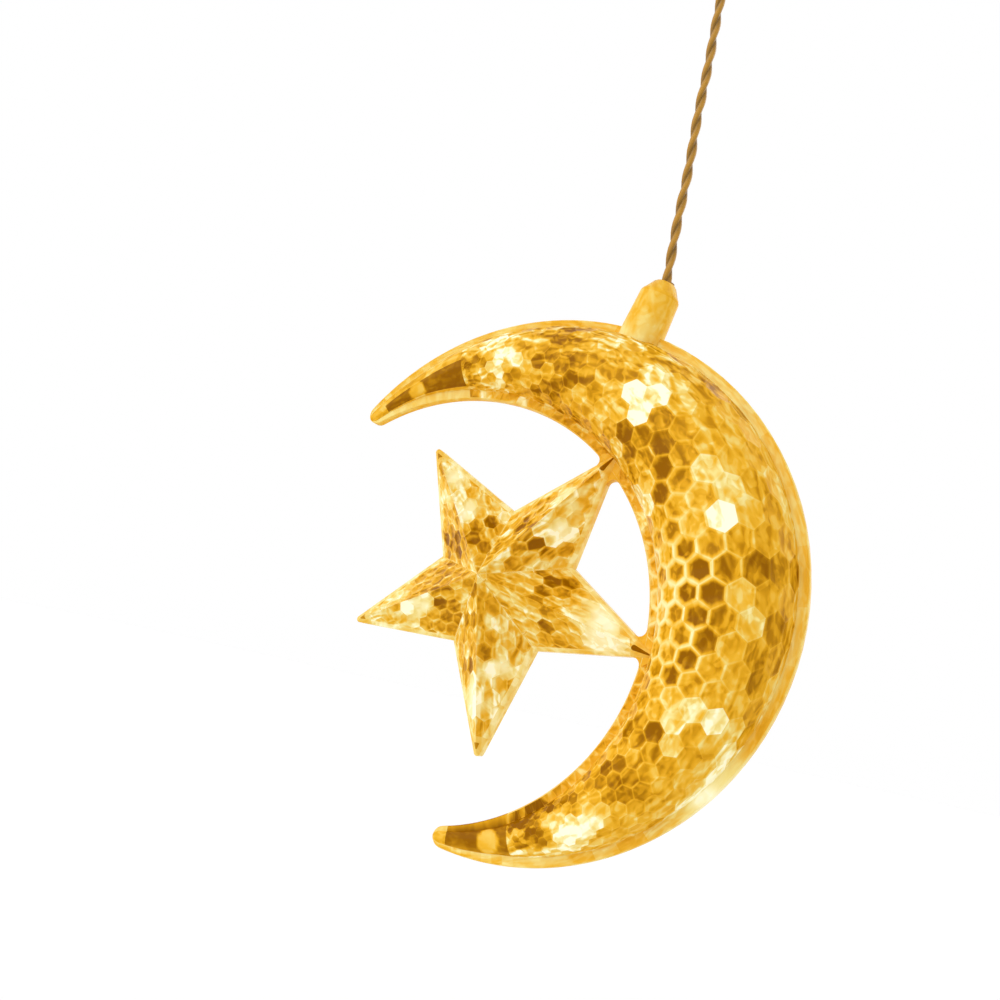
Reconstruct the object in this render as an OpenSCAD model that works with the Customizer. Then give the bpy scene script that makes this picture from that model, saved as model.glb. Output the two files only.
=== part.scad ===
// Lit crescent-and-star hanging ornament: one pendant of a moon-and-star curtain light.
// Two clear moulded half shells meet on the plane y = 0 and close round a string of small lights.
// The origin is the centre of the hook's fixing hole, +Z is up along the hanging lead,
// and the ornament's front faces -Y. Shapes of the shells are worked out in the moon's own
// plane, with the centre of its outer edge at zero and its opening towards -X, then turned to hang.

/* [Moon] */
// Radius of the moon's outer edge
moon_outer_r = 73.2; // [70:0.1:80]
// Radius of the moon's inner edge, as a share of its outer one
moon_inner_share = 0.8; // [0.76:0.005:0.83]
// Distance between the centres of the two edges, as a share of the outer radius
moon_gap_share = 0.35; // [0.33:0.005:0.38]
// Radius that rounds each horn's tip
horn_tip_r = 2.8; // [2.4:0.1:3.2]
// How far the moon's axis is turned up from level as it hangs, in degrees
moon_hang_turn = 23.8; // [15:0.1:32]

/* [Star] */
// Reach of the star's arms from its centre
star_reach_r = 45.3; // [43:0.1:47]
// Distance from the star's centre to its notches
star_notch_r = 20.2; // [18:0.1:22]
// Height of the star's peak over the parting plane
star_peak_h = 17.8; // [15:0.1:20]
// Radius that rounds each arm's tip
star_tip_r = 0.9; // [0.7:0.1:1.2]
// How far the star leans from the moon's axis, in degrees
star_lean = -2.4; // [-3:0.1:3]
// How deep the two joined arms run into the moon's rim
star_joint_depth = 2.8; // [2.4:0.1:3.2]

/* [Shells] */
// Wall of the moulded half shells
shell_wall = 1.2; // [1:0.1:1.6]
// Width of the flat rim round the moon
moon_rim_w = 2.6; // [2.2:0.1:3]
// Width of the flat rim round the star
star_rim_w = 0.9; // [0.6:0.1:1.2]
// Thickness of the rim on each half shell
rim_t = 1.3; // [1.2:0.1:1.8]
// Radius of the moulded post at each horn
post_r = 2.2; // [1.9:0.1:2.4]
// Radius of the peg on each post of the front shell
peg_r = 1.1; // [0.8:0.1:1.2]
// Length of each peg past the parting plane
peg_l = 1.8; // [1:0.1:2]
// Clearance round each peg and beyond its end
peg_clearance = 0.1; // [0.05:0.05:0.2]

/* [Neck] */
// Lean of the neck from upright as the ornament hangs, in degrees
neck_lean = 14.7; // [8:0.1:20]
// Width of the neck where it leaves the moon
neck_base_d = 12.1; // [11.9:0.1:14]
// Width of the neck at its end
neck_end_d = 11.1; // [11:0.1:12]
// Length of the neck from the moon's edge to its end corner
neck_l = 11.6; // [10:0.1:16]
// Rise of the chamfered cap over the neck's end corner
neck_cap_rise = 3.2; // [3:0.1:4]
// Width of the hollow in the neck
neck_bore_d = 8.6; // [8:0.1:8.8]

/* [Lead] */
// Diameter of each insulated wire of the twisted lead
lead_wire_d = 1.4; // [1.2:0.1:1.6]
// Free length of the lead from the neck's mouth to its end eye
lead_l = 92; // [80:1:300]
// Clearance between the lead and the grommet's bore
lead_clearance = 0.1; // [0.05:0.05:0.15]
// Radius of the stop sleeve that carries the ornament on the lead
stop_r = 2.2; // [2:0.1:2.3]
// Length of the stop sleeve
stop_l = 2.6; // [2:0.1:3]
// Outer radius of the grommet in the neck's mouth
grommet_r = 2.3; // [2.1:0.1:2.4]

/* [Hook] */
// Diameter of the hook's fixing hole
fixing_hole_d = 4.4; // [4:0.1:5]
// Outer diameter of the hook's flat eye
hook_eye_d = 11; // [10:0.5:14]
// Thickness of the hook's flat eye
hook_eye_t = 3; // [2.8:0.1:4]
// Diameter of the hook's round bar
hook_bar_d = 2.8; // [2.4:0.1:3.2]
// Distance from the fixing hole down to the bar that carries the lead
hook_drop = 19; // [17:0.5:30]
// Clearance round the bar in the lead's end eye
eye_clearance = 0.1; // [0.05:0.05:0.1]
// Thickness of the lead's end eye
end_eye_t = 2.6; // [2:0.1:3]
// Length of the sleeve that grips the lead under its end eye
end_sleeve_l = 10; // [8:0.5:16]

/* [Lights] */
// Diameter of each light's lens
light_d = 5; // [4.6:0.1:5.2]
// Length of each light's lens with its dome
light_l = 8.6; // [8:0.1:9]
// Diameter of the collar at the base of the lens
light_collar_d = 5.8; // [5.6:0.1:6]
// Thickness of the collar at the base of the lens
light_collar_t = 1; // [0.8:0.1:1.2]
// Length of the shrunk sleeve over each light's legs
sleeve_l = 6; // [5:0.1:7]
// Diameter of the thin wires inside the shells
inner_wire_d = 1.2; // [1:0.1:1.4]
// Clearance between the wires and the lights they serve
wire_clearance = 0.1; // [0.05:0.05:0.2]
// Distance between the two wires that run round the moon
rail_gap = 3; // [2.6:0.1:3.4]

/* [Hidden] */
$fn = 64;

// Overrun of every cut past the face that it opens
overrun = 1;
// Smallest step that keeps two faces from lying in one plane
sliver = 0.01;
// Gap between faces of pieces that turn against each other
running_gap = 0.3;

// The moon's inner edge, and its middle circle, which runs round the point half way between
// the centres of its two edges
moon_inner_r = moon_outer_r * moon_inner_share;
moon_centre_gap = moon_outer_r * moon_gap_share;
half_gap = moon_centre_gap / 2;
middle_r = (moon_outer_r + moon_inner_r) / 2;

// Centre of a horn's rounded tip, which touches both edges
tip_x = (pow(moon_inner_r + horn_tip_r, 2) - pow(moon_outer_r - horn_tip_r, 2)
         - pow(moon_centre_gap, 2)) / (2 * moon_centre_gap);
tip_z = sqrt(pow(moon_outer_r - horn_tip_r, 2) - pow(tip_x, 2));
tip_outer_angle = atan2(tip_z, tip_x);
tip_inner_angle = 360 + atan2(-tip_z, -(tip_x + moon_centre_gap));
tip_middle_angle = (tip_outer_angle + tip_inner_angle) / 2;
tip_half_span = (tip_inner_angle - tip_outer_angle) / 2;

// Sections of the moon from one horn to the other
section_steps = 44;
arc_half_turn = atan2(tip_z, tip_x + half_gap) - 1;
tip_shares = [0.12, 0.35, 0.6, 0.8, 1];
dome_steps = 10;

// Limits, as shares of the local width, that keep rim and wall in scale near the horn tips
rim_limit_share = 0.22;
wall_limit_share = 0.14;

// Direction of the star's arms, counted round from the moon's axis
arm_count = 5;
arm_step = 360 / arm_count;
function arm_angle(i) = arm_step / 2 + star_lean + arm_step * i;

// Corner that an arm's straight edges would meet in, and half the angle between them
arm_slope_angle = atan2(star_notch_r * sin(arm_step / 2),
                        star_reach_r - star_notch_r * cos(arm_step / 2));
star_corner_r = star_reach_r + star_tip_r * (1 / sin(arm_slope_angle) - 1);
arm_half_angle = atan2(star_notch_r * sin(arm_step / 2),
                       star_corner_r - star_notch_r * cos(arm_step / 2));
star_edge_r = star_corner_r * sin(arm_half_angle);
arm_tip_steps = 4;

// The star sits where its two joined arms reach the wanted depth into the moon's rim
star_x = sqrt(pow(moon_inner_r + star_joint_depth, 2) - pow(star_reach_r * sin(arm_step / 2), 2))
         - moon_centre_gap - star_reach_r * cos(arm_step / 2);

// The neck points along this angle from the moon's outer centre
neck_angle = 90 - neck_lean - moon_hang_turn;
neck_end_r = moon_outer_r + neck_l;
mouth_r = neck_end_r + neck_cap_rise;
neck_root_r = moon_outer_r - moon_rim_w - neck_base_d / 2;
neck_bore_root_r = middle_r - half_gap;
neck_chamfer = 0.9;
neck_lip_w = 0.8;
neck_lip_r = grommet_r + neck_lip_w;

// Heights along the lead, from the fixing hole down
bar_z = -hook_drop;
bar_r = hook_bar_d / 2;
end_eye_wall = 2.2;
end_eye_r = bar_r + eye_clearance;
end_eye_outer_r = end_eye_r + end_eye_wall;
lead_top_z = bar_z - end_eye_outer_r - end_sleeve_l;
mouth_z = lead_top_z - lead_l;
lead_r = lead_wire_d;
grommet_bottom_z = mouth_z - (neck_cap_rise + stop_r * sin(neck_lean)) / cos(neck_lean);
stop_top_z = grommet_bottom_z - running_gap;
stop_bottom_z = stop_top_z - stop_l;
splice_r = 2.4;
splice_l = 9;
splice_top_r = mouth_r - (mouth_z - stop_bottom_z) * cos(neck_lean) - stop_r * sin(neck_lean)
               - running_gap;
splice_bottom_r = splice_top_r - splice_l;

// The sleeve under the lead's end eye tapers down to a thin lip round the lead
end_sleeve_r = 2.4;
end_sleeve_lip = 0.5;

// The hook's bar bends round from the front to the back of the lead's end eye
hook_bend_r = end_eye_t / 2 + 3 * running_gap;
hook_stem_l = 0.8;
hook_tip_l = 1.6;

// The lead's route from its stop in the neck up to its end eye, straight because it hangs taut
lead_route = [[0, 0, stop_top_z], [0, 0, lead_top_z]];
lead_ring_count = 15;
lead_sides = 8;

// Posts and pegs at the horns, as angles about the middle circle's centre
post_angles = [98.3, -100.4];

// Lights round the moon, as shares of the angle to which its hollow has room for their wires
moon_light_shares = [0.915, 0.458, 0.05, -0.506, -0.94];
// Place of each star light's base along its arm, as a share of the arm's reach
star_light_share = 0.42;
// The star's lights sit forward of the parting plane to leave room for their wires
star_light_y = -1.4;
light_r = light_d / 2;
light_collar_r = light_collar_d / 2;
wire_r = inner_wire_d / 2;
wire_y = light_collar_r + wire_clearance + wire_r;
star_wire_y = star_light_y + wire_y;
star_light_base_r = star_reach_r * star_light_share;
star_ring_r = star_light_base_r - sleeve_l - wire_clearance - wire_r;
channel_clearance = 0.25;
channel_arm_l = 12;
channel_r = wire_r + channel_clearance;
channel_start_r = star_reach_r - channel_arm_l;
channel_end_r = star_reach_r + moon_rim_w + 2 * shell_wall;
wire_sides = 8;

function unit(a) = [cos(a), sin(a)];
function flat(p) = [p[0], 0, p[1]];
function along(a, r) = [r * cos(a), 0, r * sin(a)];
function turned(points, a) = [for (p = points) [p[0] * cos(a) - p[2] * sin(a), p[1],
                                                p[0] * sin(a) + p[2] * cos(a)]];

// Distance from the middle centre to the outer edge (side = 1) or the inner edge (side = -1)
function edge_r(a, side) =
    let (r = side > 0 ? moon_outer_r : moon_inner_r)
    side * half_gap * cos(a) + sqrt(r * r - pow(half_gap * sin(a), 2));
function middle_point(a, r) = [r * cos(a) - half_gap, r * sin(a)];
function middle_line_r(a) = (edge_r(a, 1) + edge_r(a, -1)) / 2;
function local_width(a) = edge_r(a, 1) - edge_r(a, -1);
function dome_h(a) = local_width(a) / 2 - moon_rim_w;

// The wires round the moon end where the hollow, which narrows, just holds the pair of them
wire_room_r = norm([rail_gap / 2 + wire_r, wire_y + wire_r]) + running_gap;
wired_turn = [for (a = [120 : -1 : 1]) if (dome_h(a) - shell_wall >= wire_room_r) a][0];
moon_light_angles = wired_turn * moon_light_shares;

// A section is the pair of its inner and outer points; at the horns they go round the tip
function arc_section(a) = [middle_point(a, edge_r(a, -1)), middle_point(a, edge_r(a, 1))];
function tip_section(k, up) =
    let (o = tip_middle_angle - tip_half_span * k, i = tip_middle_angle + tip_half_span * k,
         po = [tip_x, tip_z] + horn_tip_r * unit(o), pi = [tip_x, tip_z] + horn_tip_r * unit(i))
    [[pi[0], up * pi[1]], [po[0], up * po[1]]];
moon_sections = concat(
    [for (k = tip_shares) tip_section(k, -1)],
    [for (i = [0 : section_steps]) arc_section(arc_half_turn * (2 * i / section_steps - 1))],
    [for (i = [len(tip_shares) - 1 : -1 : 0]) tip_section(tip_shares[i], 1)]);

// One closed loop across the shell: rim, dome, rim, then back along the hollow
function section_loop(s) =
    let (w = norm(s[1] - s[0]), d = (s[1] - s[0]) / w,
         rim = min(moon_rim_w, rim_limit_share * w), wall = min(shell_wall, wall_limit_share * w),
         dome_w = w - 2 * rim, rise = max(dome_w / 2 - rim_t, 0),
         hollow_w = dome_w - 2 * wall, hollow_h = max(rise + rim_t - wall, 0),
         steps = [for (i = [0 : dome_steps]) 180 * i / dome_steps],
         dome = [for (t = steps) [rim + dome_w * (1 - cos(t)) / 2, rim_t + rise * sin(t)]],
         hollow = [for (t = steps) [w - rim - wall - hollow_w * (1 - cos(t)) / 2,
                                    hollow_h * sin(t)]],
         loop = concat([[0, 0], [0, rim_t]], dome, [[w, rim_t], [w, 0]], hollow))
    [for (p = loop) [s[0][0] + d[0] * p[0], -p[1], s[0][1] + d[1] * p[0]]];

// Triangles between one loop of n points and the next, and a fan over the loop at each end
function skin(count, n) = [for (j = [0 : count - 2], i = [0 : n - 1])
    let (a = j * n + i, b = j * n + (i + 1) % n) each [[a, a + n, b], [b, a + n, b + n]]];
function fan(start, n, hub, flip) = [for (i = [1 : n - 2])
    let (a = start + (hub + i) % n, b = start + (hub + i + 1) % n)
    flip ? [start + hub, b, a] : [start + hub, a, b]];

module swept(loops, hub) {
    n = len(loops[0]);
    last = (len(loops) - 1) * n;
    polyhedron(points = [for (l = loops) each l],
               faces = concat(skin(len(loops), n), fan(0, n, hub, false), fan(last, n, hub, true)));
}

// A round wire swept along a route of points
function direction(route, i) =
    let (a = route[max(i - 1, 0)], b = route[min(i + 1, len(route) - 1)]) (b - a) / norm(b - a);
function wire_loop(route, i, r, sides) =
    let (t = direction(route, i), ref = abs(t[1]) > 0.9 ? [1, 0, 0] : [0, 1, 0],
         u = cross(t, ref) / norm(cross(t, ref)), v = cross(t, u))
    [for (k = [0 : sides - 1]) route[i] + r * (cos(360 * k / sides) * u + sin(360 * k / sides) * v)];
module wire(route, r, sides) {
    swept([for (i = [0 : len(route) - 1]) wire_loop(route, i, r, sides)], 0);
}

// Puts a shape from the moon's own plane where it hangs under the lead
module hung() {
    translate([0, 0, mouth_z]) rotate([0, -moon_hang_turn, 0])
        translate(-along(neck_angle, mouth_r)) children();
}

// Puts a shape drawn along +Z on the neck's axis, with its start at the distance r
module on_neck(r) {
    translate(along(neck_angle, r)) rotate([0, 90 - neck_angle, 0]) children();
}

// Puts a shape drawn along +Z at the point p of the moon's plane, pointing along the angle a
module pointing(p, a) {
    translate(p) rotate([0, 90 - a, 0]) children();
}

// The star's outline, scaled about its centre
function star_outline(k) = [for (i = [0 : arm_count - 1]) each concat(
    [for (j = [-arm_tip_steps / 2 : arm_tip_steps / 2])
        let (c = star_corner_r - star_tip_r / sin(arm_half_angle),
             a = j / arm_tip_steps * 2 * (90 - arm_half_angle))
        k * (c * unit(arm_angle(i)) + star_tip_r * unit(arm_angle(i) + a))],
    [k * star_notch_r * unit(arm_angle(i) + arm_step / 2)])];

// The star's half shell is a pyramid over its outline on a straight rim, and its hollow keeps
// the wall's thickness under the sloping faces
star_hollow_share = 1 - (star_rim_w + shell_wall) / star_edge_r;
star_face_angle = atan2(star_peak_h - rim_t, star_edge_r);
module star_shell() {
    outer = star_outline(1);
    hollow = star_outline(star_hollow_share);
    hollow_peak_h = star_peak_h - shell_wall / cos(star_face_angle);
    n = len(outer);
    points = concat([for (p = outer) [p[0], 0, p[1]]], [for (p = outer) [p[0], -rim_t, p[1]]],
                    [for (p = hollow) [p[0], 0, p[1]]], [[0, -star_peak_h, 0], [0, -hollow_peak_h, 0]]);
    faces = [for (i = [0 : n - 1]) let (j = (i + 1) % n)
        each [[i, n + i, j], [j, n + i, n + j], [n + i, 3 * n, n + j],
              [2 * n + i, i, j], [2 * n + i, j, 2 * n + j], [2 * n + j, 3 * n + 1, 2 * n + i]]];
    translate([star_x, 0, 0]) polyhedron(points = points, faces = faces);
}

// Outline of the neck from its root to its chamfered cap, turned about its axis
module neck_body() {
    root = neck_base_d / 2;
    end = neck_end_d / 2;
    on_neck(neck_root_r) rotate_extrude()
        polygon([[0, 0], [root, 0], [root, moon_outer_r - neck_root_r],
                 [end, neck_end_r - neck_chamfer - neck_root_r],
                 [end - neck_chamfer / 2, neck_end_r - neck_root_r],
                 [neck_lip_r, mouth_r - neck_chamfer / 2 - neck_root_r],
                 [neck_lip_r - neck_chamfer / 2, mouth_r - neck_root_r],
                 [0, mouth_r - neck_root_r]]);
}

// The half space in front of the parting plane
module front_half() {
    reach = 4 * moon_outer_r;
    translate([-reach / 2, -reach, -reach / 2]) cube([reach, reach, reach]);
}

module post_place(a) {
    translate(flat(middle_point(a, middle_line_r(a)))) rotate([90, 0, 0]) children();
}

// What both half shells have in common, drawn for the front one
module half_shell() {
    difference() {
        union() {
            swept([for (s = moon_sections) section_loop(s)], 2 + dome_steps / 2);
            star_shell();
            intersection() {
                neck_body();
                front_half();
            }
            for (a = post_angles)
                post_place(a) cylinder(r = post_r, h = dome_h(a) - shell_wall / 2);
        }
        on_neck(neck_bore_root_r) cylinder(d = neck_bore_d, h = neck_end_r - neck_bore_root_r);
        translate(along(neck_angle, mouth_r)) rotate([0, moon_hang_turn, 0])
            translate([0, 0, -2 * neck_cap_rise])
                cylinder(r = grommet_r, h = 2 * neck_cap_rise + overrun);
        for (i = [0, arm_count - 1])
            pointing([star_x, 0, 0] + along(arm_angle(i), channel_start_r), arm_angle(i))
                cylinder(r = channel_r, h = channel_end_r - channel_start_r);
    }
}

module front_shell() {
    color([0.98, 0.72, 0.18, 0.6]) hung() {
        half_shell();
        for (a = post_angles)
            post_place(a) translate([0, 0, -peg_l]) cylinder(r = peg_r, h = peg_l + rim_t);
    }
}

module back_shell() {
    color([0.94, 0.66, 0.14, 0.6]) hung() difference() {
        mirror([0, 1, 0]) half_shell();
        for (a = post_angles)
            post_place(a) translate([0, 0, -peg_l - peg_clearance])
                cylinder(r = peg_r + peg_clearance, h = peg_l + peg_clearance + overrun);
    }
}

// Soft bush that closes the neck's mouth round the lead
module cord_grommet() {
    color([0.80, 0.55, 0.15]) difference() {
        translate([0, 0, grommet_bottom_z]) cylinder(r = grommet_r, h = mouth_z - grommet_bottom_z);
        translate([0, 0, grommet_bottom_z - overrun])
            cylinder(r = lead_r + lead_clearance, h = mouth_z - grommet_bottom_z + 2 * overrun);
    }
}

// Shrunk sleeve in the neck where the inner wires join the lead's wires
module neck_splice() {
    color([0.85, 0.80, 0.70]) hung()
        on_neck(splice_bottom_r) cylinder(r = splice_r, h = splice_l);
}

// One light: collar, straight lens and dome, pointing along +Z from its base
module light() {
    straight = light_l - light_r;
    color([1.0, 0.95, 0.75]) rotate_extrude() {
        square([light_collar_r, light_collar_t]);
        square([light_r, straight]);
        intersection() {
            translate([0, straight]) circle(r = light_r);
            translate([0, straight - sliver]) square([light_r, light_l]);
        }
    }
}

// Each moon light lies along the middle line, its dome towards the nearer horn
function light_side(i) = moon_light_angles[i] > 0 ? 1 : -1;
module at_moon_light(i) {
    a = moon_light_angles[i];
    pointing(flat(middle_point(a, middle_line_r(a))), a + 90 * light_side(i)) children();
}
module at_star_light(i) {
    pointing([star_x, star_light_y, 0] + along(arm_angle(i), star_light_base_r), arm_angle(i))
        children();
}

module moon_light(i) { hung() at_moon_light(i) light(); }
module star_light(i) { hung() at_star_light(i) light(); }

// Shrunk sleeve over a light's legs, behind its collar
module light_sleeve() {
    translate([0, 0, -sleeve_l]) cylinder(r = light_r - wire_clearance, h = sleeve_l);
}
module moon_light_sleeves() {
    color([0.90, 0.88, 0.80]) hung() for (i = [0 : len(moon_light_angles) - 1])
        at_moon_light(i) light_sleeve();
}
module star_light_sleeves() {
    color([0.90, 0.88, 0.80]) hung() for (i = [0 : arm_count - 1]) at_star_light(i) light_sleeve();
}

// The two wires that run round the moon behind its lights, side = -1 inside and 1 outside
rail_steps = 40;
function rail_point(a, side) =
    let (p = middle_point(a, middle_line_r(a) + side * rail_gap / 2)) [p[0], wire_y, p[1]];
function rail_route(side) = [for (i = [0 : rail_steps])
    rail_point(wired_turn * (1 - 2 * i / rail_steps), side)];

// A short tail from the splice in the neck down to one of these wires, under the outer one
tail_side = splice_r / 2;
tail_turn = 2;
tail_straight_l = 3;
under_rail = [0, 2 * wire_r + running_gap, 0];
function tail_route(side) =
    let (top = along(neck_angle, splice_bottom_r) + side * along(neck_angle - 90, tail_side),
         a = atan2(top[2], top[0] + half_gap) - side * tail_turn)
    concat([top, top - along(neck_angle, tail_straight_l)],
           side < 0 ? [rail_point(a, 1) - under_rail] : [], [rail_point(a, side)]);
module moon_wire(side) {
    union() {
        wire(rail_route(side), wire_r, wire_sides);
        wire(tail_route(side), wire_r, wire_sides);
    }
}
module moon_feed_wire() { color([0.85, 0.60, 0.20]) hung() moon_wire(1); }
module moon_return_wire() { color([0.85, 0.60, 0.20]) hung() moon_wire(-1); }

// Angle about the middle circle's centre at which the line of arm i meets the middle circle
function join_angle(i) =
    let (a = arm_angle(i), e = star_x + half_gap,
         reach = sqrt(pow(middle_r, 2) - pow(e * sin(a), 2)) - e * cos(a))
    atan2(reach * sin(a), e + reach * cos(a));

// A wire from the star's ring along an arm and through its joined tip to the moon's inner wire
function star_arm_route(i) =
    let (a = arm_angle(i), s = [star_x, 0, 0], lift = [0, star_wire_y, 0])
    [s + along(a, star_ring_r) + [0, star_light_y + 2 * wire_r, 0],
     s + along(a, star_ring_r) + lift,
     s + along(a, star_light_base_r) + lift,
     s + along(a, star_light_base_r + light_l) + lift,
     s + along(a, channel_start_r),
     s + along(a, channel_end_r),
     rail_point(join_angle(i), -1) - [0, 2 * wire_r + wire_clearance, 0]];
module star_arm_wire(i) { wire(star_arm_route(i), wire_r, wire_sides); }
module star_feed_wire() { color([0.85, 0.60, 0.20]) hung() star_arm_wire(0); }
module star_return_wire() { color([0.85, 0.60, 0.20]) hung() star_arm_wire(arm_count - 1); }

// Ring of wire in the star's middle that the sleeves of its lights end on
module star_ring_wire() {
    color([0.85, 0.60, 0.20]) hung() translate([star_x, star_light_y, 0]) rotate([90, 0, 0])
        rotate_extrude() translate([star_ring_r, 0]) circle(r = wire_r);
}

module drop_lead() {
    color([0.62, 0.42, 0.10]) wire([for (i = [0 : lead_ring_count])
        lead_route[0] + (lead_route[1] - lead_route[0]) * i / lead_ring_count], lead_r, lead_sides);
}

// Sleeve crimped on the lead's end in the neck: the ornament hangs on it
module lead_stop() {
    color([0.75, 0.70, 0.60]) translate([0, 0, stop_top_z - stop_l]) cylinder(r = stop_r, h = stop_l);
}

// Moulded eye at the lead's top end, with the sleeve that grips the lead
module lead_end_eye() {
    color([0.80, 0.58, 0.18]) difference() {
        union() {
            translate([0, 0, bar_z]) rotate([90, 0, 0])
                cylinder(r = end_eye_outer_r, h = end_eye_t, center = true);
            translate([0, 0, lead_top_z])
                cylinder(r1 = lead_r + end_sleeve_lip, r2 = end_sleeve_r,
                         h = end_sleeve_l + end_eye_wall / 2);
        }
        translate([0, 0, bar_z]) rotate([90, 0, 0])
            cylinder(r = end_eye_r, h = 2 * end_eye_t, center = true);
    }
}

// A quarter bend of the hook's bar about the point p of the YZ plane, from the angle a on
module hook_bend(p, a) {
    translate(p) rotate([0, -90, 0]) rotate([0, 0, a])
        rotate_extrude(angle = 90) translate([hook_bend_r, 0]) circle(r = bar_r);
}

// Hook that holds the lead's eye on a level bar, under the flat eye that is fixed overhead
module hanging_hook() {
    arm_y = 2 * hook_bend_r;
    eye_r = hook_eye_d / 2;
    crank_z = -eye_r - hook_stem_l;
    arm_top_z = crank_z - arm_y;
    arm_bottom_z = bar_z + hook_bend_r;
    tip_z = arm_bottom_z + hook_tip_l;
    color([0.85, 0.65, 0.25]) difference() {
        union() {
            rotate([90, 0, 0]) cylinder(r = eye_r, h = hook_eye_t, center = true);
            translate([0, 0, crank_z]) cylinder(r = bar_r, h = -crank_z);
            hook_bend([0, hook_bend_r, crank_z], 180);
            hook_bend([0, hook_bend_r, arm_top_z], 0);
            translate([0, arm_y, arm_bottom_z]) cylinder(r = bar_r, h = arm_top_z - arm_bottom_z);
            hook_bend([0, hook_bend_r, arm_bottom_z], 90);
            translate([0, hook_bend_r, bar_z]) rotate([90, 0, 0])
                cylinder(r = bar_r, h = 2 * hook_bend_r);
            hook_bend([0, -hook_bend_r, arm_bottom_z], 180);
            translate([0, -arm_y, arm_bottom_z]) cylinder(r = bar_r, h = hook_tip_l);
            translate([0, -arm_y, tip_z]) sphere(r = bar_r);
        }
        rotate([90, 0, 0]) cylinder(d = fixing_hole_d, h = 2 * hook_eye_t, center = true);
    }
}

front_shell();
back_shell();
cord_grommet();
neck_splice();
moon_light(0);  // moon_light_1
moon_light(1);  // moon_light_2
moon_light(2);  // moon_light_3
moon_light(3);  // moon_light_4
moon_light(4);  // moon_light_5
star_light(0);  // star_light_1
star_light(1);  // star_light_2
star_light(2);  // star_light_3
star_light(3);  // star_light_4
star_light(4);  // star_light_5
moon_light_sleeves();
star_light_sleeves();
moon_feed_wire();
moon_return_wire();
star_feed_wire();
star_return_wire();
star_ring_wire();
drop_lead();
lead_stop();
lead_end_eye();
hanging_hook();
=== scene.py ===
# %% [markdown]
# # A lit crescent and star hanging ornament
# This lesson dresses the solid model of one pendant of a moon-and-star curtain light. The
# real thing is moulded in two halves from clear golden plastic. Rows of six-sided facets are
# pressed into its domes, small lights glow inside, and a twisted two-wire lead carries it.
# The solid model gives the sizes, so it is loaded first and every piece is put in its frame.

# %% Load the frame
import math
import random
from bisect import bisect_right
import bmesh
import bpy
from mathutils import Matrix, Vector


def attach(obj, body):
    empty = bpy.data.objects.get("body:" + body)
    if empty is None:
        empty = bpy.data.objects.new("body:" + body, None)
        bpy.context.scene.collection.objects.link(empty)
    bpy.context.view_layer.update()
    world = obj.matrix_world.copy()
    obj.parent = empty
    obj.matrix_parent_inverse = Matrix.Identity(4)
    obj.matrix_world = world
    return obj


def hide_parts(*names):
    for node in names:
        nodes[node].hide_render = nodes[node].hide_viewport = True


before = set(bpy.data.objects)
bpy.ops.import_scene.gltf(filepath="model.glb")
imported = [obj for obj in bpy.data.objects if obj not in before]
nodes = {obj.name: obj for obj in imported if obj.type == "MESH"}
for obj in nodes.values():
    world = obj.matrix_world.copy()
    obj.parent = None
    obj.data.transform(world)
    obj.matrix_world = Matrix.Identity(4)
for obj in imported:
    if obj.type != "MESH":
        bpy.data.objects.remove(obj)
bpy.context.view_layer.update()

# %% [markdown]
# ## The camera
# The photo looks at the ornament from its right and a little from below, and the lead runs
# to the upper right, so the camera is also rolled. A camera is easiest to set by its three
# axes: where its right, its up and its back point. Together they make the rotation.

# %% Camera
MM = 0.001
camera_right = Vector((0.89478451, 0.39665869, 0.20499405))
camera_up = Vector((-0.11553602, -0.2377882, 0.96442117))
camera_back = Vector((0.4312912, -0.88663333, -0.16694083))
camera_target = Vector((-0.0354, 0.0, -0.1896))
camera_distance = 0.2976
camera_data = bpy.data.cameras.new("camera")
camera_data.sensor_width = 36
camera_data.lens = 38.95
camera_data.clip_start = 0.01
camera = bpy.data.objects.new("camera", camera_data)
bpy.context.scene.collection.objects.link(camera)
axes = Matrix((camera_right, camera_up, camera_back)).transposed().to_4x4()
camera.matrix_world = Matrix.Translation(camera_target + camera_back * camera_distance) @ axes
bpy.context.scene.camera = camera
print("camera at", tuple(round(c, 4) for c in camera.matrix_world.translation))

# %% [markdown]
# ## The main sizes
# The facets have to lie exactly where the solid's smooth domes are, so the few sizes that
# shape them are written again here, in millimetres. The moon is drawn in its own plane with
# the centre of its outer edge at zero, and `hang` then turns it to where it hangs. Three
# small helpers come first: `turned` reads angles in degrees, `mix` goes part of the way from
# one value to another, and `clamp` holds a value between two bounds.

# %% Small helpers
def turned(*degrees):
    return tuple(math.radians(angle) for angle in degrees)


def mix(low, high, share):
    return low + (high - low) * share


def clamp(value, low, high):
    return min(max(value, low), high)


print("half way from 2 to 4 lies", mix(2, 4, 0.5), "and 7 is held to", clamp(7, 2, 4))

# %% Sizes of the moon, star, neck and lead
MOON_OUTER_R, MOON_INNER_R, MOON_GAP = 73.2, 58.56, 25.62
HORN_TIP_R = 2.8
SHELL_WALL, MOON_RIM_W, RIM_T = 1.2, 2.6, 1.3
STAR_REACH_R, STAR_NOTCH_R, STAR_PEAK_H = 45.3, 20.2, 17.8
STAR_TIP_R, STAR_RIM_W, STAR_JOINT_DEPTH = 0.9, 0.9, 2.8
STAR_LEAN, ARM_STEP = turned(-2.4, 72)
NECK_BASE_D, NECK_END_D, NECK_L, NECK_CAP_RISE = 12.1, 11.1, 11.6, 3.2
NECK_LEAN, HANG_TURN = turned(14.7, 23.8)
LEAD_WIRE_R, LEAD_BOTTOM_Z, LEAD_TOP_Z, MOUTH_Z = 0.7, -128.885, -32.7, -124.7
GROMMET_R = 2.3
HALF_GAP = MOON_GAP / 2
NECK_ANGLE = math.pi / 2 - NECK_LEAN - HANG_TURN
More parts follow.
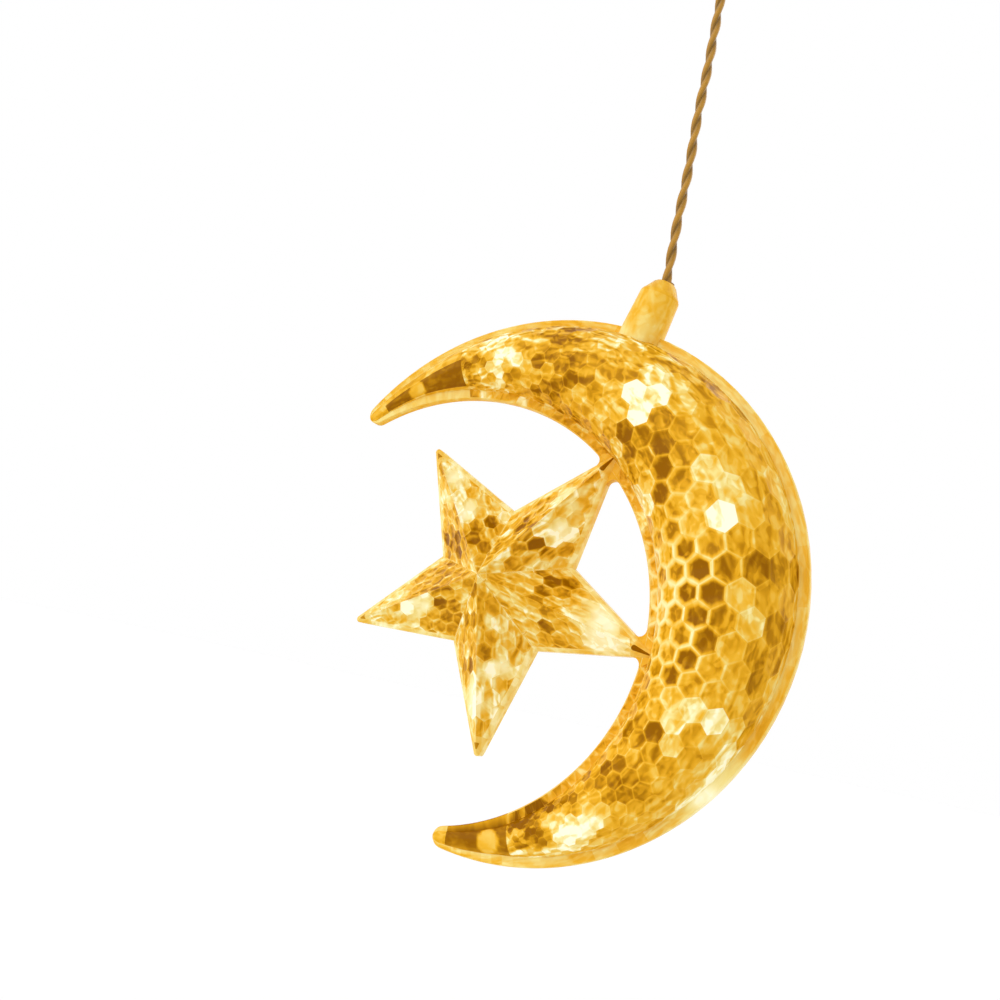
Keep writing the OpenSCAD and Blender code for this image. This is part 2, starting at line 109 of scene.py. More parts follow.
MOUTH_R = MOON_OUTER_R + NECK_L + NECK_CAP_RISE


def hang(x, y, z):
    """A point of the moon's own plane, in millimetres, where it hangs, in metres."""
    dx = x - MOUTH_R * math.cos(NECK_ANGLE)
    dz = z - MOUTH_R * math.sin(NECK_ANGLE)
    turn_cos, turn_sin = math.cos(HANG_TURN), math.sin(HANG_TURN)
    return Vector((dx * turn_cos - dz * turn_sin, y, MOUTH_Z + dx * turn_sin + dz * turn_cos)) * MM


def edge_r(angle, side):
    """Distance from the middle circle's centre to the outer (1) or inner (-1) edge."""
    radius = MOON_OUTER_R if side > 0 else MOON_INNER_R
    return side * HALF_GAP * math.cos(angle) + math.sqrt(
        radius ** 2 - (HALF_GAP * math.sin(angle)) ** 2)


def local_width(angle):
    return edge_r(angle, 1) - edge_r(angle, -1)


def middle_r(angle):
    return (edge_r(angle, 1) + edge_r(angle, -1)) / 2


# %% [markdown]
# ## A mesh that is filled piece by piece
# All shells are built from computed points. This small helper collects points and faces,
# joins points that fall in the same place, and keeps four facts for the material: `tone` and
# `play` of each face, its painted light and shade and how much light plays in it, the painted
# light of each point, a pale highlight on the crests between facets, on the posts' ends and near
# the lights, and `flow`, which runs along the moulding in mm.

# %% Mesh helper
SHARP_TURN = math.radians(35)


class Moulding:
    def __init__(self):
        self.points, self.index, self.ridge, self.flow = [], {}, [], []
        self.faces, self.tones, self.plays = [], [], []

    def point(self, place, ridge=0.0, flow=(0.0, 0.0, 0.0)):
        key = tuple(round(c / MM, 4) for c in place)
        if key not in self.index:
            self.index[key] = len(self.points)
            self.points.append(tuple(place))
            self.ridge.append(ridge)
            self.flow += flow
        return self.index[key]

    def face(self, corners, tone=0.5, play=0.3):
        ring = [c for i, c in enumerate(corners) if c != corners[i - 1]]
        if len(set(ring)) >= 3:
            self.faces.append(ring)
            self.tones.append(tone)
            self.plays.append(play)

    def strip(self, a, b, looks, closed=True):
        """Faces between two rows of points. `looks` is (tone, play), for all or for each."""
        count = len(a) if closed else len(a) - 1
        if isinstance(looks, tuple):
            looks = [looks] * count
        for i, look in zip(range(count), looks):
            n = (i + 1) % len(a)
            if look:
                self.face([a[i], a[n], b[n], b[i]], *look)

    def build(self, name, material, body, slot, node):
        """Makes the piece, which rides on its body and hides the node it stands for."""
        mesh = bpy.data.meshes.new(name)
        mesh.from_pydata(self.points, [], self.faces)
        for label, kind, domain, field, values in (
                ("tone", "FLOAT", "FACE", "value", self.tones),
                ("play", "FLOAT", "FACE", "value", self.plays),
                ("ridge", "FLOAT", "POINT", "value", self.ridge),
                ("flow", "FLOAT_VECTOR", "POINT", "vector", self.flow)):
            mesh.attributes.new(label, kind, domain).data.foreach_set(field, values)
        outward = bmesh.new()
        outward.from_mesh(mesh)
        loose = [v for v in outward.verts if not v.link_faces]
        bmesh.ops.delete(outward, geom=loose, context="VERTS")
        bmesh.ops.recalc_face_normals(outward, faces=outward.faces)
        outward.to_mesh(mesh)
        outward.free()
        mesh.shade_smooth()
        mesh.set_sharp_from_angle(angle=SHARP_TURN)
        mesh.materials.append(material)
        piece = bpy.data.objects.new(name, mesh)
        bpy.context.scene.collection.objects.link(piece)
        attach(piece, body)
        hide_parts(node)
        print(name, len(mesh.polygons), "faces")
        return piece


print("creases over", round(math.degrees(SHARP_TURN)), "degrees stay sharp")

# %% [markdown]
# ## The lead comes first
# The lead is two insulated wires twisted together, held straight by the ornament's weight. A
# single tube would lose its rope-like look. A curve can't hold two strands, so each wire is
# swept as its own helix, half a turn apart, in one mesh.

# %% The twisted lead
LEAD_PITCH, LEAD_SIDES, RINGS_PER_TURN, PATH_STEPS = 15.6, 12, 22, 30
LEAD_WAVE, WAVE_X, WAVE_Y = 0.12, 5.3, 7.1
STRAND_R = 0.88
STRAND_OUT = 2 * LEAD_WIRE_R - STRAND_R


def lead_centre(z):
    """The lead's centreline, with the faint unevenness of a hand-twisted pair."""
    reach = (z - LEAD_BOTTOM_Z) / (LEAD_TOP_Z - LEAD_BOTTOM_Z)
    wave = LEAD_WAVE * math.sin(math.pi * reach)
    return Vector((wave * math.sin(z / WAVE_X), wave * math.cos(z / WAVE_Y), z))


def twisted_lead():
    lead = Moulding()
    rings = round((LEAD_TOP_Z - LEAD_BOTTOM_Z) / LEAD_PITCH * RINGS_PER_TURN)
    slope = 2 * math.pi * STRAND_OUT / LEAD_PITCH
    side_turns = [2 * math.pi * k / LEAD_SIDES for k in range(LEAD_SIDES)]
    # Each strand's tone is painted light on its outer side and painted shade in the groove between
    # the strands.
    looks = [(0.5 + 0.5 * math.cos(a + math.pi / LEAD_SIDES), 0.0) for a in side_turns]
    for strand in range(2):
        loops = []
        for i in range(rings + 1):
            z = mix(LEAD_BOTTOM_Z, LEAD_TOP_Z, i / rings)
            turn = 2 * math.pi * z / LEAD_PITCH + math.pi * strand
            out = Vector((math.cos(turn), math.sin(turn), 0))
            along = Vector((-math.sin(turn) * slope, math.cos(turn) * slope, 1)).normalized()
            side = along.cross(out)
            middle = lead_centre(z) + out * STRAND_OUT
            loop = []
            for a in side_turns:
                place = middle + (out * math.cos(a) + side * math.sin(a)) * STRAND_R
                place.z = clamp(place.z, LEAD_BOTTOM_Z, LEAD_TOP_Z)
                loop.append(lead.point(place * MM, flow=(z, a, strand)))
            loops.append(loop)
        for a, b in zip(loops, loops[1:]):
            lead.strip(a, b, looks)
        lead.face(loops[0])
        lead.face(loops[-1])
    return lead


# %% [markdown]
# ## Shader helpers
# Every finish is a node tree. `node` adds one node with its inputs, and `material_with` starts
# a material with its Principled shader. A value that is the same all over the piece is typed
# straight on the shader's own socket, and only what varies is wired into it.

# %% Node helpers
def feed(tree, sockets, inputs):
    """Wires each input to the socket of its name, or types it there if it is a plain value."""
    for name, value in inputs.items():
        socket = sockets[name.replace("_", " ") if isinstance(name, str) else name]
        if isinstance(value, bpy.types.NodeSocket):
            tree.links.new(value, socket)
        else:
            socket.default_value = value


def node(tree, kind, inputs, **settings):
    made = tree.nodes.new("ShaderNode" + kind)
    for name, value in settings.items():
        setattr(made, name, value)
    feed(tree, made.inputs, inputs)
    return made


def maths(tree, operation, a, b=0.0, c=0.0):
    return node(tree, "Math", {0: a, 1: b, 2: c}, operation=operation).outputs[0]


def map_range(tree, value, low, high, to_low, to_high, **settings):
    return node(tree, "MapRange", {"Value": value, "From Min": low, "From Max": high,
                                   "To Min": to_low, "To Max": to_high}, **settings).outputs[0]


def noise(tree, vector, scale, detail, roughness=0.5, distortion=0.0):
    made = node(tree, "TexNoise", {"Vector": vector, "Scale": scale, "Detail": detail,
                                   "Roughness": roughness, "Distortion": distortion})
    return made.outputs["Fac"]


def bump(tree, height, strength, distance_mm):
    return node(tree, "Bump", {"Height": height, "Strength": strength,
                               "Distance": distance_mm * MM}).outputs["Normal"]


def fact(tree, name, output="Fac"):
    return node(tree, "Attribute", {}, attribute_name=name).outputs[output]

# %% Colour, material and group helpers
def linear(code):
    """The shader's linear colour of a screen colour written as #rrggbb."""
    parts = [int(code[i:i + 2], 16) / 255 for i in (1, 3, 5)]
    return (*[c / 12.92 if c <= 0.04045 else ((c + 0.055) / 1.055) ** 2.4 for c in parts], 1.0)


def ramp(tree, factor, stops):
    made = node(tree, "ValToRGB", {"Fac": factor})
    elements = made.color_ramp.elements
    while len(elements) < len(stops):
        elements.new(1.0)
    for element, (place, code) in zip(elements, stops):
        element.position, element.color = place, linear(code)
    return made.outputs["Color"]


def material_with(name, **constants):
    material = bpy.data.materials.new(name)
    material.use_nodes = True
    tree = material.node_tree
    tree.nodes.clear()
    shader = node(tree, "BsdfPrincipled", constants)
    node(tree, "OutputMaterial", {"Surface": shader.outputs[0]})
    return material, tree, shader.inputs


def group_of(name, inputs, outputs):
    tree = bpy.data.node_groups.new(name, "ShaderNodeTree")
    for way, sockets in (("INPUT", inputs), ("OUTPUT", outputs)):
        for socket, kind, *value in sockets:
            made = tree.interface.new_socket(socket, in_out=way, socket_type="NodeSocket" + kind)
            if value:
                made.default_value = value[0]
    return tree, tree.nodes.new("NodeGroupInput").outputs, tree.nodes.new("NodeGroupOutput").inputs


print("mid grey is", round(linear("#808080")[0], 3), "in linear light")

# %% [markdown]
# ## Light in the facets
# The clear golden plastic bends the glow of the lights, so each facet shows one tone, from
# dark brown where it looks past every light to almost white in front of one. Within a facet
# the tone runs in swirls and blots, and crests between facets catch a pale line. The group
# takes the mesh's four facts, adds noise drawn out along the moulding, and reads two ramps.

# %% Group: golden facets
GOLD_STOPS = [(0.0, "#935c00"), (0.12, "#a76f04"), (0.26, "#c5890e"), (0.4, "#e0a21b"),
              (0.55, "#edb431"), (0.68, "#ecc55b"), (0.8, "#ecd988"), (0.92, "#eee6b0"),
              (1.0, "#f2f0d2")]
GLOW_STOPS = [(0.0, "#000000"), (0.3, "#1a0d00"), (0.55, "#3e2500"), (0.75, "#6e4e12"),
              (0.9, "#9a7e42"), (1.0, "#b4a680")]
PALE = 0.92
NOISE_CORE, BLOT_CORE, PATCH_CORE = (0.3, 0.7), (0.4, 0.64), (0.35, 0.6)
SWIRL_SWING, BLOT_SWING, CREST_SHARE, GLOSS = (-0.24, 0.24), (-0.06, 0.12), (0.6, 1.0), (0.1, 0.24)

facets, given, gives = group_of(
    "golden facets",
    [("Tone", "Float", 0.5), ("Play", "Float", 1.0), ("Ridge", "Float", 0.0),
     ("Flow", "Vector"), ("Swirl Gain", "Float", 1.0), ("Ridge Gain", "Float", 0.4)],
    [("Color", "Color"), ("Glow", "Color"), ("Roughness", "Float"), ("Height", "Float")])


def flow_noise(stretch, detail, distortion):
    """Noise that is drawn out along the moulding; `stretch` is in features for each mm."""
    along = node(facets, "VectorMath", {0: given["Flow"], 1: stretch}, operation="MULTIPLY")
    return noise(facets, along.outputs[0], 1.0, detail, distortion=distortion)


def spread(value, core, swing):
    """Stretches the core of a noise, where most of its values lie, to a range of its own."""
    return map_range(facets, value, *core, *swing, interpolation_type="SMOOTHSTEP")


swirls = flow_noise((0.11, 0.24, 1.0), 1.4, 1.3)
blots = flow_noise((0.36, 0.42, 1.0), 0.6, 1.0)
patches = flow_noise((0.07, 0.1, 1.0), 1.0, 0.5)
moving = maths(facets, "MULTIPLY", spread(swirls, NOISE_CORE, SWIRL_SWING), given["Swirl Gain"])
moving = maths(facets, "ADD", moving, spread(blots, BLOT_CORE, BLOT_SWING))
plain_value = maths(facets, "MULTIPLY_ADD", moving, given["Play"], given["Tone"])
crest_gain = maths(facets, "MULTIPLY", spread(patches, PATCH_CORE, CREST_SHARE),
                   given["Ridge Gain"])
# Each point's painted light, the pale crests and the glow near the lights, lifts the tone towards
# PALE.
crest = maths(facets, "MULTIPLY", given["Ridge"], crest_gain)
below_pale = maths(facets, "MAXIMUM", maths(facets, "SUBTRACT", PALE, plain_value), 0.0)
value = maths(facets, "MULTIPLY_ADD", below_pale, crest, plain_value)
feed(facets, gives, {"Color": ramp(facets, value, GOLD_STOPS),
                     "Glow": ramp(facets, value, GLOW_STOPS),
                     "Roughness": spread(blots, NOISE_CORE, GLOSS), "Height": swirls})
print("group", facets.name, len(facets.nodes), "nodes")

# %% [markdown]
# ## The golden plastic
# One recipe serves the moon, the star and the neck: the group gives the colour, with the light
# and shade of the lights inside painted into it, and a thin clear coat and low roughness give
# the shine of polished moulding. Emission adds a painted glow of the lights behind. The moon's
# facets are larger, so its swirls are calmer than the star's.

# %% Material: faceted gold
GOLD_BUMP, GOLD_BUMP_MM = 0.25, 0.25


def faceted_gold(name, swirl_gain, ridge_gain):
    material, tree, inputs = material_with(
        name, IOR=1.49, Specular_IOR_Level=0.02, Coat_Weight=0.05, Coat_Roughness=0.06,
        Emission_Strength=0.45)
    light = node(tree, "Group", {"Tone": fact(tree, "tone"), "Play": fact(tree, "play"),
                                 "Ridge": fact(tree, "ridge"), "Flow": fact(tree, "flow", "Vector"),
                                 "Swirl Gain": swirl_gain, "Ridge Gain": ridge_gain},
                 node_tree=facets).outputs
    feed(tree, inputs, {"Base Color": light["Color"], "Emission Color": light["Glow"],
                        "Roughness": light["Roughness"],
                        "Normal": bump(tree, light["Height"], GOLD_BUMP, GOLD_BUMP_MM)})
    return material


moon_gold = faceted_gold("moon gold", 0.72, 1.0)
star_gold = faceted_gold("star gold", 1.0, 0.66)
neck_gold = faceted_gold("neck gold", 0.9, 0.8)
print("materials", moon_gold.name, star_gold.name, neck_gold.name)

# %% [markdown]
# ## Cutting a honeycomb to a shape
# The facets form a honeycomb of six-sided cells. A cell that crosses the border of its patch
# is cut there, so the pattern ends in clean part cells as in the mould. `clipped` keeps the
# part of a polygon on the wanted side of each straight line, one line after another.

# %% Clip a polygon
TOUCH = 1e-6
FULL_CELL = [(2, 0), (1, 1), (-1, 1), (-2, 0), (-1, -1), (1, -1)]


def sides(corners):
    return zip(corners, corners[1:] + corners[:1])


def middle_of(corners):
    return [sum(axis) / len(corners) for axis in zip(*corners)]


def area(corners):
    return abs(sum(p[0] * q[1] - q[0] * p[1] for p, q in sides(corners))) / 2


def clipped(corners, lines):
    """What of a convex polygon fulfils a * x + b * y <= c for every line (a, b, c)."""
    for a, b, c in lines:
        kept = []
        for p, q in sides(corners):
            over_p, over_q = a * p[0] + b * p[1] - c, a * q[0] + b * q[1] - c
            if over_p <= TOUCH:
                kept.append(p)
            if min(over_p, over_q) < -TOUCH and max(over_p, over_q) > TOUCH:
                t = over_p / (over_p - over_q)
                kept.append((mix(p[0], q[0], t), mix(p[1], q[1], t)))
        corners = kept
        if len(corners) < 3:
            return []
    return corners


def honeycomb(columns, rows):
    """Centres of the cells that reach into the patch, in half steps along and across."""
    return [(k, j) for j in range(rows[0], rows[1] + 1) for k in range(columns[0], columns[1] + 1)
            if k % 3 == 0 and (k + j) % 2 == 0]


print("cut in half, a cell of", area(FULL_CELL), "keeps", area(clipped(FULL_CELL, [(1, 0, 0)])))

# %% [markdown]
# ## One dished facet
# In the mould each cell is a shallow dish with crests round it, like beaten metal. Two rings
# and a middle point sink it under the smooth surface, deeper for large cells, and the crest
# points stay on the surface, so neighbours share them. The tone is chance, moved by spots:
# places in front of a light gain, and places that look past every light lose.

# %% Dish a cell
SECTOR_WAVER, LIP_FALL, TONE_CAP = 0.06, 0.2, 1.1
LIP_SINK, WALL_SINK = 0.4, 0.8


def dish(moulding, corners, surface, depth, tone, chance, crest, hold, lip, glint, play=1.0,
         glow=lambda a, b: 0.0):
    """Sinks one cell. `crest` is the painted highlight on its crest, `lip` is how much of it the
    crest takes up, `hold` how much of the crest's painted highlight stays over the lip, `glint`
    how much painted highlight the lip gains on the side where `b` grows, and `glow` a soft
    painted light that runs on from cell to cell."""
    middle = middle_of(corners)
    rings = []
    for share, sink, ridge in ((1.0, 0.0, crest), (1 - lip, LIP_SINK, hold * crest),
                               (1 - lip - LIP_FALL, WALL_SINK, 0.0)):
        ring = []
        for corner in corners:
            at = [mix(m, c, share) for m, c in zip(middle, corner)]
            place, flow = surface(*at, depth * sink)
            ring.append(moulding.point(place, max(ridge, glow(*at)), flow))
        rings.append(ring)
    place, flow = surface(*middle, depth)
    hub = moulding.point(place, glow(*middle), flow)
    sectors, lit = [], []
    for p, q in sides(corners):
        sector = tone + chance.uniform(-SECTOR_WAVER, SECTOR_WAVER)
        a, b = ((m + n) / 2 - o for m, n, o in zip(p, q, middle))
        # The glint is a painted highlight on the lip, on the side where b grows.
        gain = glint * max(b, 0.0) ** 2 / (a * a + b * b) * max(PALE - sector, 0.0)
        sectors.append((sector, play))
        lit.append((sector + gain, play))
    moulding.strip(rings[0], rings[1], lit)
    moulding.strip(rings[1], rings[2], sectors)
    moulding.strip(rings[2], [hub] * len(corners), (tone, play))


def spot_sum(spots, a, b):
    """What all spots (a, b, reach, gain) together add to the tone at a place."""
    return sum(gain * math.exp(-((a - spot_a) ** 2 + (b - spot_b) ** 2) / reach ** 2)
               for spot_a, spot_b, reach, gain in spots)


print("a spot keeps", round(spot_sum([(0, 0, 1, 1)], 1, 0), 2), "of its gain at its reach")

# %% [markdown]
# ## The moon's honeycomb
# Eight cells lie side by side across the dome, and they shrink towards the horns with it, so
# one step along the moon is as long as one step across. Adding up these steps gives the
# angle at which each column of the pattern stands. The pattern runs on over the inner rim,
# which counts as one more row. Near the horns the dome is left smooth.

# %% Columns of the moon's honeycomb
ROWS, RIM_ROW = 16, -1
HONEY_START, HONEY_END = turned(-94, 83.5)
FINE_STEPS = 2000
RIM_LIMIT_SHARE, WALL_LIMIT_SHARE = 0.22, 0.14


def row_step(angle):
    """How far the rows of half steps lie apart across the dome."""
    width = local_width(angle)
    return math.pi * (width - 2 * min(MOON_RIM_W, RIM_LIMIT_SHARE * width)) / 2 / ROWS


angles = [mix(HONEY_START, HONEY_END, i / FINE_STEPS) for i in range(FINE_STEPS + 1)]
run, travelled = [0.0], [0.0]
for a, b in zip(angles, angles[1:]):
    arc = middle_r(a) * (b - a)
    run.append(run[-1] + arc / (row_step(a) / math.sqrt(3)))
    travelled.append(travelled[-1] + arc)
COLUMNS = 6 * round(run[-1] / 6)
run = [r * COLUMNS / run[-1] for r in run]
print(COLUMNS, "half steps along,", ROWS, "across")


def reading(table, k):
    """Reads a table that was made beside `run` at the column k."""
    low = clamp(bisect_right(run, k) - 1, 0, FINE_STEPS - 1)
    return mix(table[low], table[low + 1], (k - run[low]) / (run[low + 1] - run[low]))

# %% [markdown]
# ## Sections of the moon
# A section is the straight line from the moon's inner edge to its outer one. Each one
# carries the rim, the half-round dome and the hollow under it. Beyond the arcs the sections
# turn about the centre of the horn's rounded tip.

# %% Sections
TIP_SHARES = [0.04, 0.12, 0.25, 0.42, 0.6, 0.8, 1.0]


def section_parts(section):
    width = math.dist(*section)
    rim = min(MOON_RIM_W, RIM_LIMIT_SHARE * width)
    wall = min(SHELL_WALL, WALL_LIMIT_SHARE * width)
    dome = width - 2 * rim
    rise = max(dome / 2 - RIM_T, 0.0)
    return width, rim, wall, dome, rise, max(rise + RIM_T - wall, 0.0)


def section_point(section, offset):
    share = offset / math.dist(*section)
    return [mix(a, b, share) for a, b in zip(*section)]


def section_place(section, offset, height, side):
    x, z = section_point(section, offset)
    return hang(x, side * height, z)


def arch(start, span, foot, rise, j):
    """Offset and height of a half-round arch over a section, at the row j."""
    t = math.pi * j / ROWS
    return start + span * (1 - math.cos(t)) / 2, foot + rise * math.sin(t)


def arc_section(angle):
    return [(edge_r(angle, side) * math.cos(angle) - HALF_GAP, edge_r(angle, side) * math.sin(angle))
            for side in (-1, 1)]


tip_x = ((MOON_INNER_R + HORN_TIP_R) ** 2 - (MOON_OUTER_R - HORN_TIP_R) ** 2
         - MOON_GAP ** 2) / (2 * MOON_GAP)
tip_z = math.sqrt((MOON_OUTER_R - HORN_TIP_R) ** 2 - tip_x ** 2)
tip_outer = math.atan2(tip_z, tip_x)
tip_inner = 2 * math.pi + math.atan2(-tip_z, -(tip_x + MOON_GAP))
arc_end = math.atan2(tip_z, tip_x + HALF_GAP) - math.radians(1)


def tip_section(share, up):
    middle, half = (tip_outer + tip_inner) / 2, (tip_inner - tip_outer) / 2 * share
    return [(tip_x + HORN_TIP_R * math.cos(a), up * (tip_z + HORN_TIP_R * math.sin(a)))
            for a in (middle + half, middle - half)]


print("arcs end", round(math.degrees(arc_end), 1), "degrees from the moon's middle")

# %% [markdown]
# ## Where the moon glows
# Five lights stand in a row along the moon, and the facets before each one go pale or white.
# Between them one looks past the lights at the dark inside. Each spot below is an angle on
# the moon, a row from 0 beside the inner rim to 16, a reach in millimetres and a gain of tone.

# %% Light and dark spots of the moon
MOON_SPOTS = [
    (73, 10.5, 3.5, 0.46), (73.5, 6, 3, 0.44), (74, 1.5, 3.5, 0.44), (73, 15, 3, 0.4),
    (66, 6.6, 2.6, 0.34), (31, 8.3, 5, 0.62), (27, 8.0, 3, 0.3), (34, 4.8, 2.5, 0.3),
    (45, 11.8, 3.5, 0.3), (-2, 9.3, 3.8, 0.62), (7, 8.6, 2.8, 0.28), (5, 10.6, 2.6, 0.16),
    (3, 13.6, 2.6, 0.24), (9, 2.0, 4.5, 0.6), (1, 6.4, 2.6, 0.2), (-41, 10.5, 3.6, 0.62),
    (-42, 7.8, 4, 0.34), (-45, 5.5, 3.5, 0.24), (-46, 14.8, 4.5, 0.5), (-54, 15.7, 4.5, 0.6),
    (-79, 10.4, 4, 0.6), (-72, 9.0, 4, 0.34), (-23, 10.8, 2, 0.12), (-30, 6.2, 2.4, 0.3),
    (15, 6.2, 4, -0.4), (24, 4.6, 4, -0.34), (9, 4.8, 3.4, -0.36), (-13, 6.8, 5.5, -0.5),
    (-20, 7.4, 6.5, -0.52), (-12, 11.4, 4.4, -0.34), (-12, 14.4, 4, -0.28),
    (-22, 13.6, 4.5, -0.32), (-31, 7.8, 5, -0.46), (-38, 6.2, 3.4, -0.34), (-32, 12.6, 6, -0.2),
    (-53, 5.6, 4, -0.34), (-62, 5.4, 5, -0.3), (-61, 10.8, 6, -0.12), (-91, 5, 5, -0.45),
    (-86, 2, 5, -0.42), (-80, 2, 3.5, -0.26), (-92, 12, 4, 0.1), (81.5, 7.6, 2, -0.3),
    (81, 4, 2, -0.22), (58, 7.0, 3, -0.28), (50, 7.6, 3, -0.28), (51, 3.4, 4, -0.26),
    (56, 11, 5, -0.16), (22, 14.3, 5, -0.16)]
print(len(MOON_SPOTS), "light and dark spots")

# %% Measures along the moon
CREST_LIGHT_MIDDLE, CREST_LIGHT_REACH = turned(-18, 30)
CREST_LIGHT_LEAST, OUTER_ROWS = 0.15, (6, 11)
LOWER_HORN, UPPER_HORN = turned(-80, -50), turned(50, 80)
LOWER_FADE, UPPER_FADE, OUTSIDE_FADE = turned(-94, -76), turned(72, 84), turned(12, 40)


def along_and_across(angle, j):
    """The way along the moon and across its dome, in millimetres."""
    share = (angle - HONEY_START) / (HONEY_END - HONEY_START) * FINE_STEPS
    low = clamp(int(share), 0, FINE_STEPS - 1)
    return mix(travelled[low], travelled[low + 1], share - low), (j - ROWS / 2) * row_step(angle)


moon_glow = [(*along_and_across(math.radians(degrees), j), reach, gain)
             for degrees, j, reach, gain in MOON_SPOTS]


def share_of(value, start, end):
    """0 before `start`, 1 after `end`, with a soft change between."""
    t = clamp((value - start) / (end - start), 0, 1)
    return t * t * (3 - 2 * t)


def near_horns(angle, lower, upper):
    return max(1 - share_of(angle, *lower), share_of(angle, *upper))


def crest_light(angle, j):
    """How wide the crests are and how pale their painted highlight is: most in the inner part of the
    lower half.
    """
    near = math.exp(-((angle - CREST_LIGHT_MIDDLE) / CREST_LIGHT_REACH) ** 2)
    return (1 - share_of(j, *OUTER_ROWS)) * mix(CREST_LIGHT_LEAST, 1.0, near)


def streaks(angle, j):
    """How far the cells give way to long streaks: at the horns and high on the outside."""
    return max(near_horns(angle, LOWER_FADE, UPPER_FADE),
               share_of(j, *OUTER_ROWS) * share_of(angle, *OUTSIDE_FADE))


print(round(travelled[-1]), "mm of honeycomb along the moon")

# %% [markdown]
# ## The moon's surface
# Loops of points run across the shell at every second column and join up along it. Between
# the horns' smooth windows the dome's own strip is left open, and the honeycomb fills it.
# Much of each window is painted dark, the shade of the inside seen through it. In each window a
# post joins the halves, and its round end shows as a pale disc, painted as a highlight.

# %% The moon's surface and posts
POSTS_SEEN = ((98.0, 5.8, 2.6), (-99.0, 8.0, 3.1))  # degrees, row and radius of each
EDGE_CHAMFER, MOON_SIDE_FLOW = 0.3, 40.0


def chamfer_of(rim):
    return min(EDGE_CHAMFER, rim / 3)


def moon_surface(k, j, sink, side):
    """The place and flow of a point that is sunk under the rim or the dome."""
    angle = reading(angles, k)
    section = arc_section(angle)
    width, rim, wall, dome, rise, hollow_h = section_parts(section)
    t = math.pi * max(j, 0) / ROWS
    normal = Vector((-rise * math.cos(t), dome / 2 * math.sin(t))).normalized()
    offset, height = arch(rim, dome, RIM_T, rise, max(j, 0))
    if j < 0:
        normal = Vector((0, 1))
        offset -= (rim - chamfer_of(rim)) * j / RIM_ROW
    flow = (reading(travelled, k), (j - ROWS / 2) * row_step(angle), side * MOON_SIDE_FLOW)
    return section_place(section, offset - normal.x * sink, height - normal.y * sink, side), flow


posts = []
for degrees, j, radius in POSTS_SEEN:
    section = arc_section(math.radians(degrees))
    width, rim, wall, dome, rise, hollow_h = section_parts(section)
    posts.append((section_point(section, arch(rim, dome, RIM_T, rise, j)[0]), radius))
print(len(posts), "posts seen in the windows")

# %% Loops across the moon
POST_SOFT, POST_CREST = 0.5, 0.68
WINDOW_EDGE, RIM_GLOW, RIM_GLOW_CAP, RIM_CREST, RIM_STRETCH = 0.6, 2.4, 1.2, 0.6, 2.0
SEAM, SEAM_BAND, EDGE_POINTS = 0.1, 0.6, 5


def moon_loop(moulding, section, side, along, angle, dished):
    """Points across the shell: seam, rim, dome, rim, seam, then back through the hollow.
    Where the honeycomb lies on both sides, it makes the points between its borders itself."""
    width, rim, wall, dome, rise, hollow_h = section_parts(section)
    c, s = chamfer_of(rim), min(SEAM, rim / 6)
    edge = [(s, 0), (0, s), (0, SEAM_BAND), (0, RIM_T - c), (c, RIM_T)]
    top = [arch(rim, dome, RIM_T, rise, j) for j in range(ROWS + 1)]
    hollow = [arch(rim + wall, dome - 2 * wall, 0, hollow_h, j) for j in range(ROWS + 1)]
    line = edge + top + [(width - x, y) for x, y in [*reversed(edge), *hollow]]
    loop = []
    for i, (offset, height) in enumerate(line):
        place_row = i - EDGE_POINTS
        if dished and RIM_ROW < place_row < ROWS:
            loop.append(None)
            continue
        row = clamp(place_row, RIM_ROW, ROWS)
        # Crest points on the rims get a painted highlight, and points near a light get a painted
        # glow.
        crest = RIM_CREST if row in (RIM_ROW, 0, ROWS) and c <= offset <= width - rim else 0.0
        if angle is not None and angle < HONEY_START and row < ROWS:
            crest *= WINDOW_EDGE if row < 0 else 0.0
        if angle is not None and place_row <= ROWS + EDGE_POINTS:
            lit = spot_sum(moon_glow, *along_and_across(angle, row))
            crest = max(crest, min(RIM_GLOW * lit, RIM_GLOW_CAP))
        if 0 < place_row < ROWS:
            # A post's round end shows in its window as a pale disc, painted as a highlight.
            for centre, radius in posts:
                inside = (radius - math.dist(section_point(section, offset), centre)) / POST_SOFT
                crest = max(crest, POST_CREST * clamp(inside + 0.5, 0.0, 1.0))
        beyond = min(offset - c, 0.0) + max(offset - width + rim, 0.0)
        across = (row - ROWS / 2) * math.pi * dome / 2 / ROWS + beyond * RIM_STRETCH
        loop.append(moulding.point(section_place(section, offset, height, side), crest,
                                   (along, across, side * MOON_SIDE_FLOW)))
    return loop


print("each loop has", 2 * (ROWS + 1 + EDGE_POINTS), "points")

# %% Tones between the loops
# The window rows are painted shade: the dark inside seen through the smooth window, lighter towards
# the outer rows.
WINDOW_SHADE_TONE, WINDOW_BORDER_TONE, WINDOW_FADE = 0.03, 0.5, 0.36
DARK_ROWS = {"upper": range(2, 9), "lower": range(-3, 15)}
RIM_TONE, SIDE_TONE, OUTSIDE_TONE, HOLLOW_TONE = 0.56, 0.58, 0.66, 0.45
SOLID_PLAY, BORDER_PLAY = 0.5, 0.8


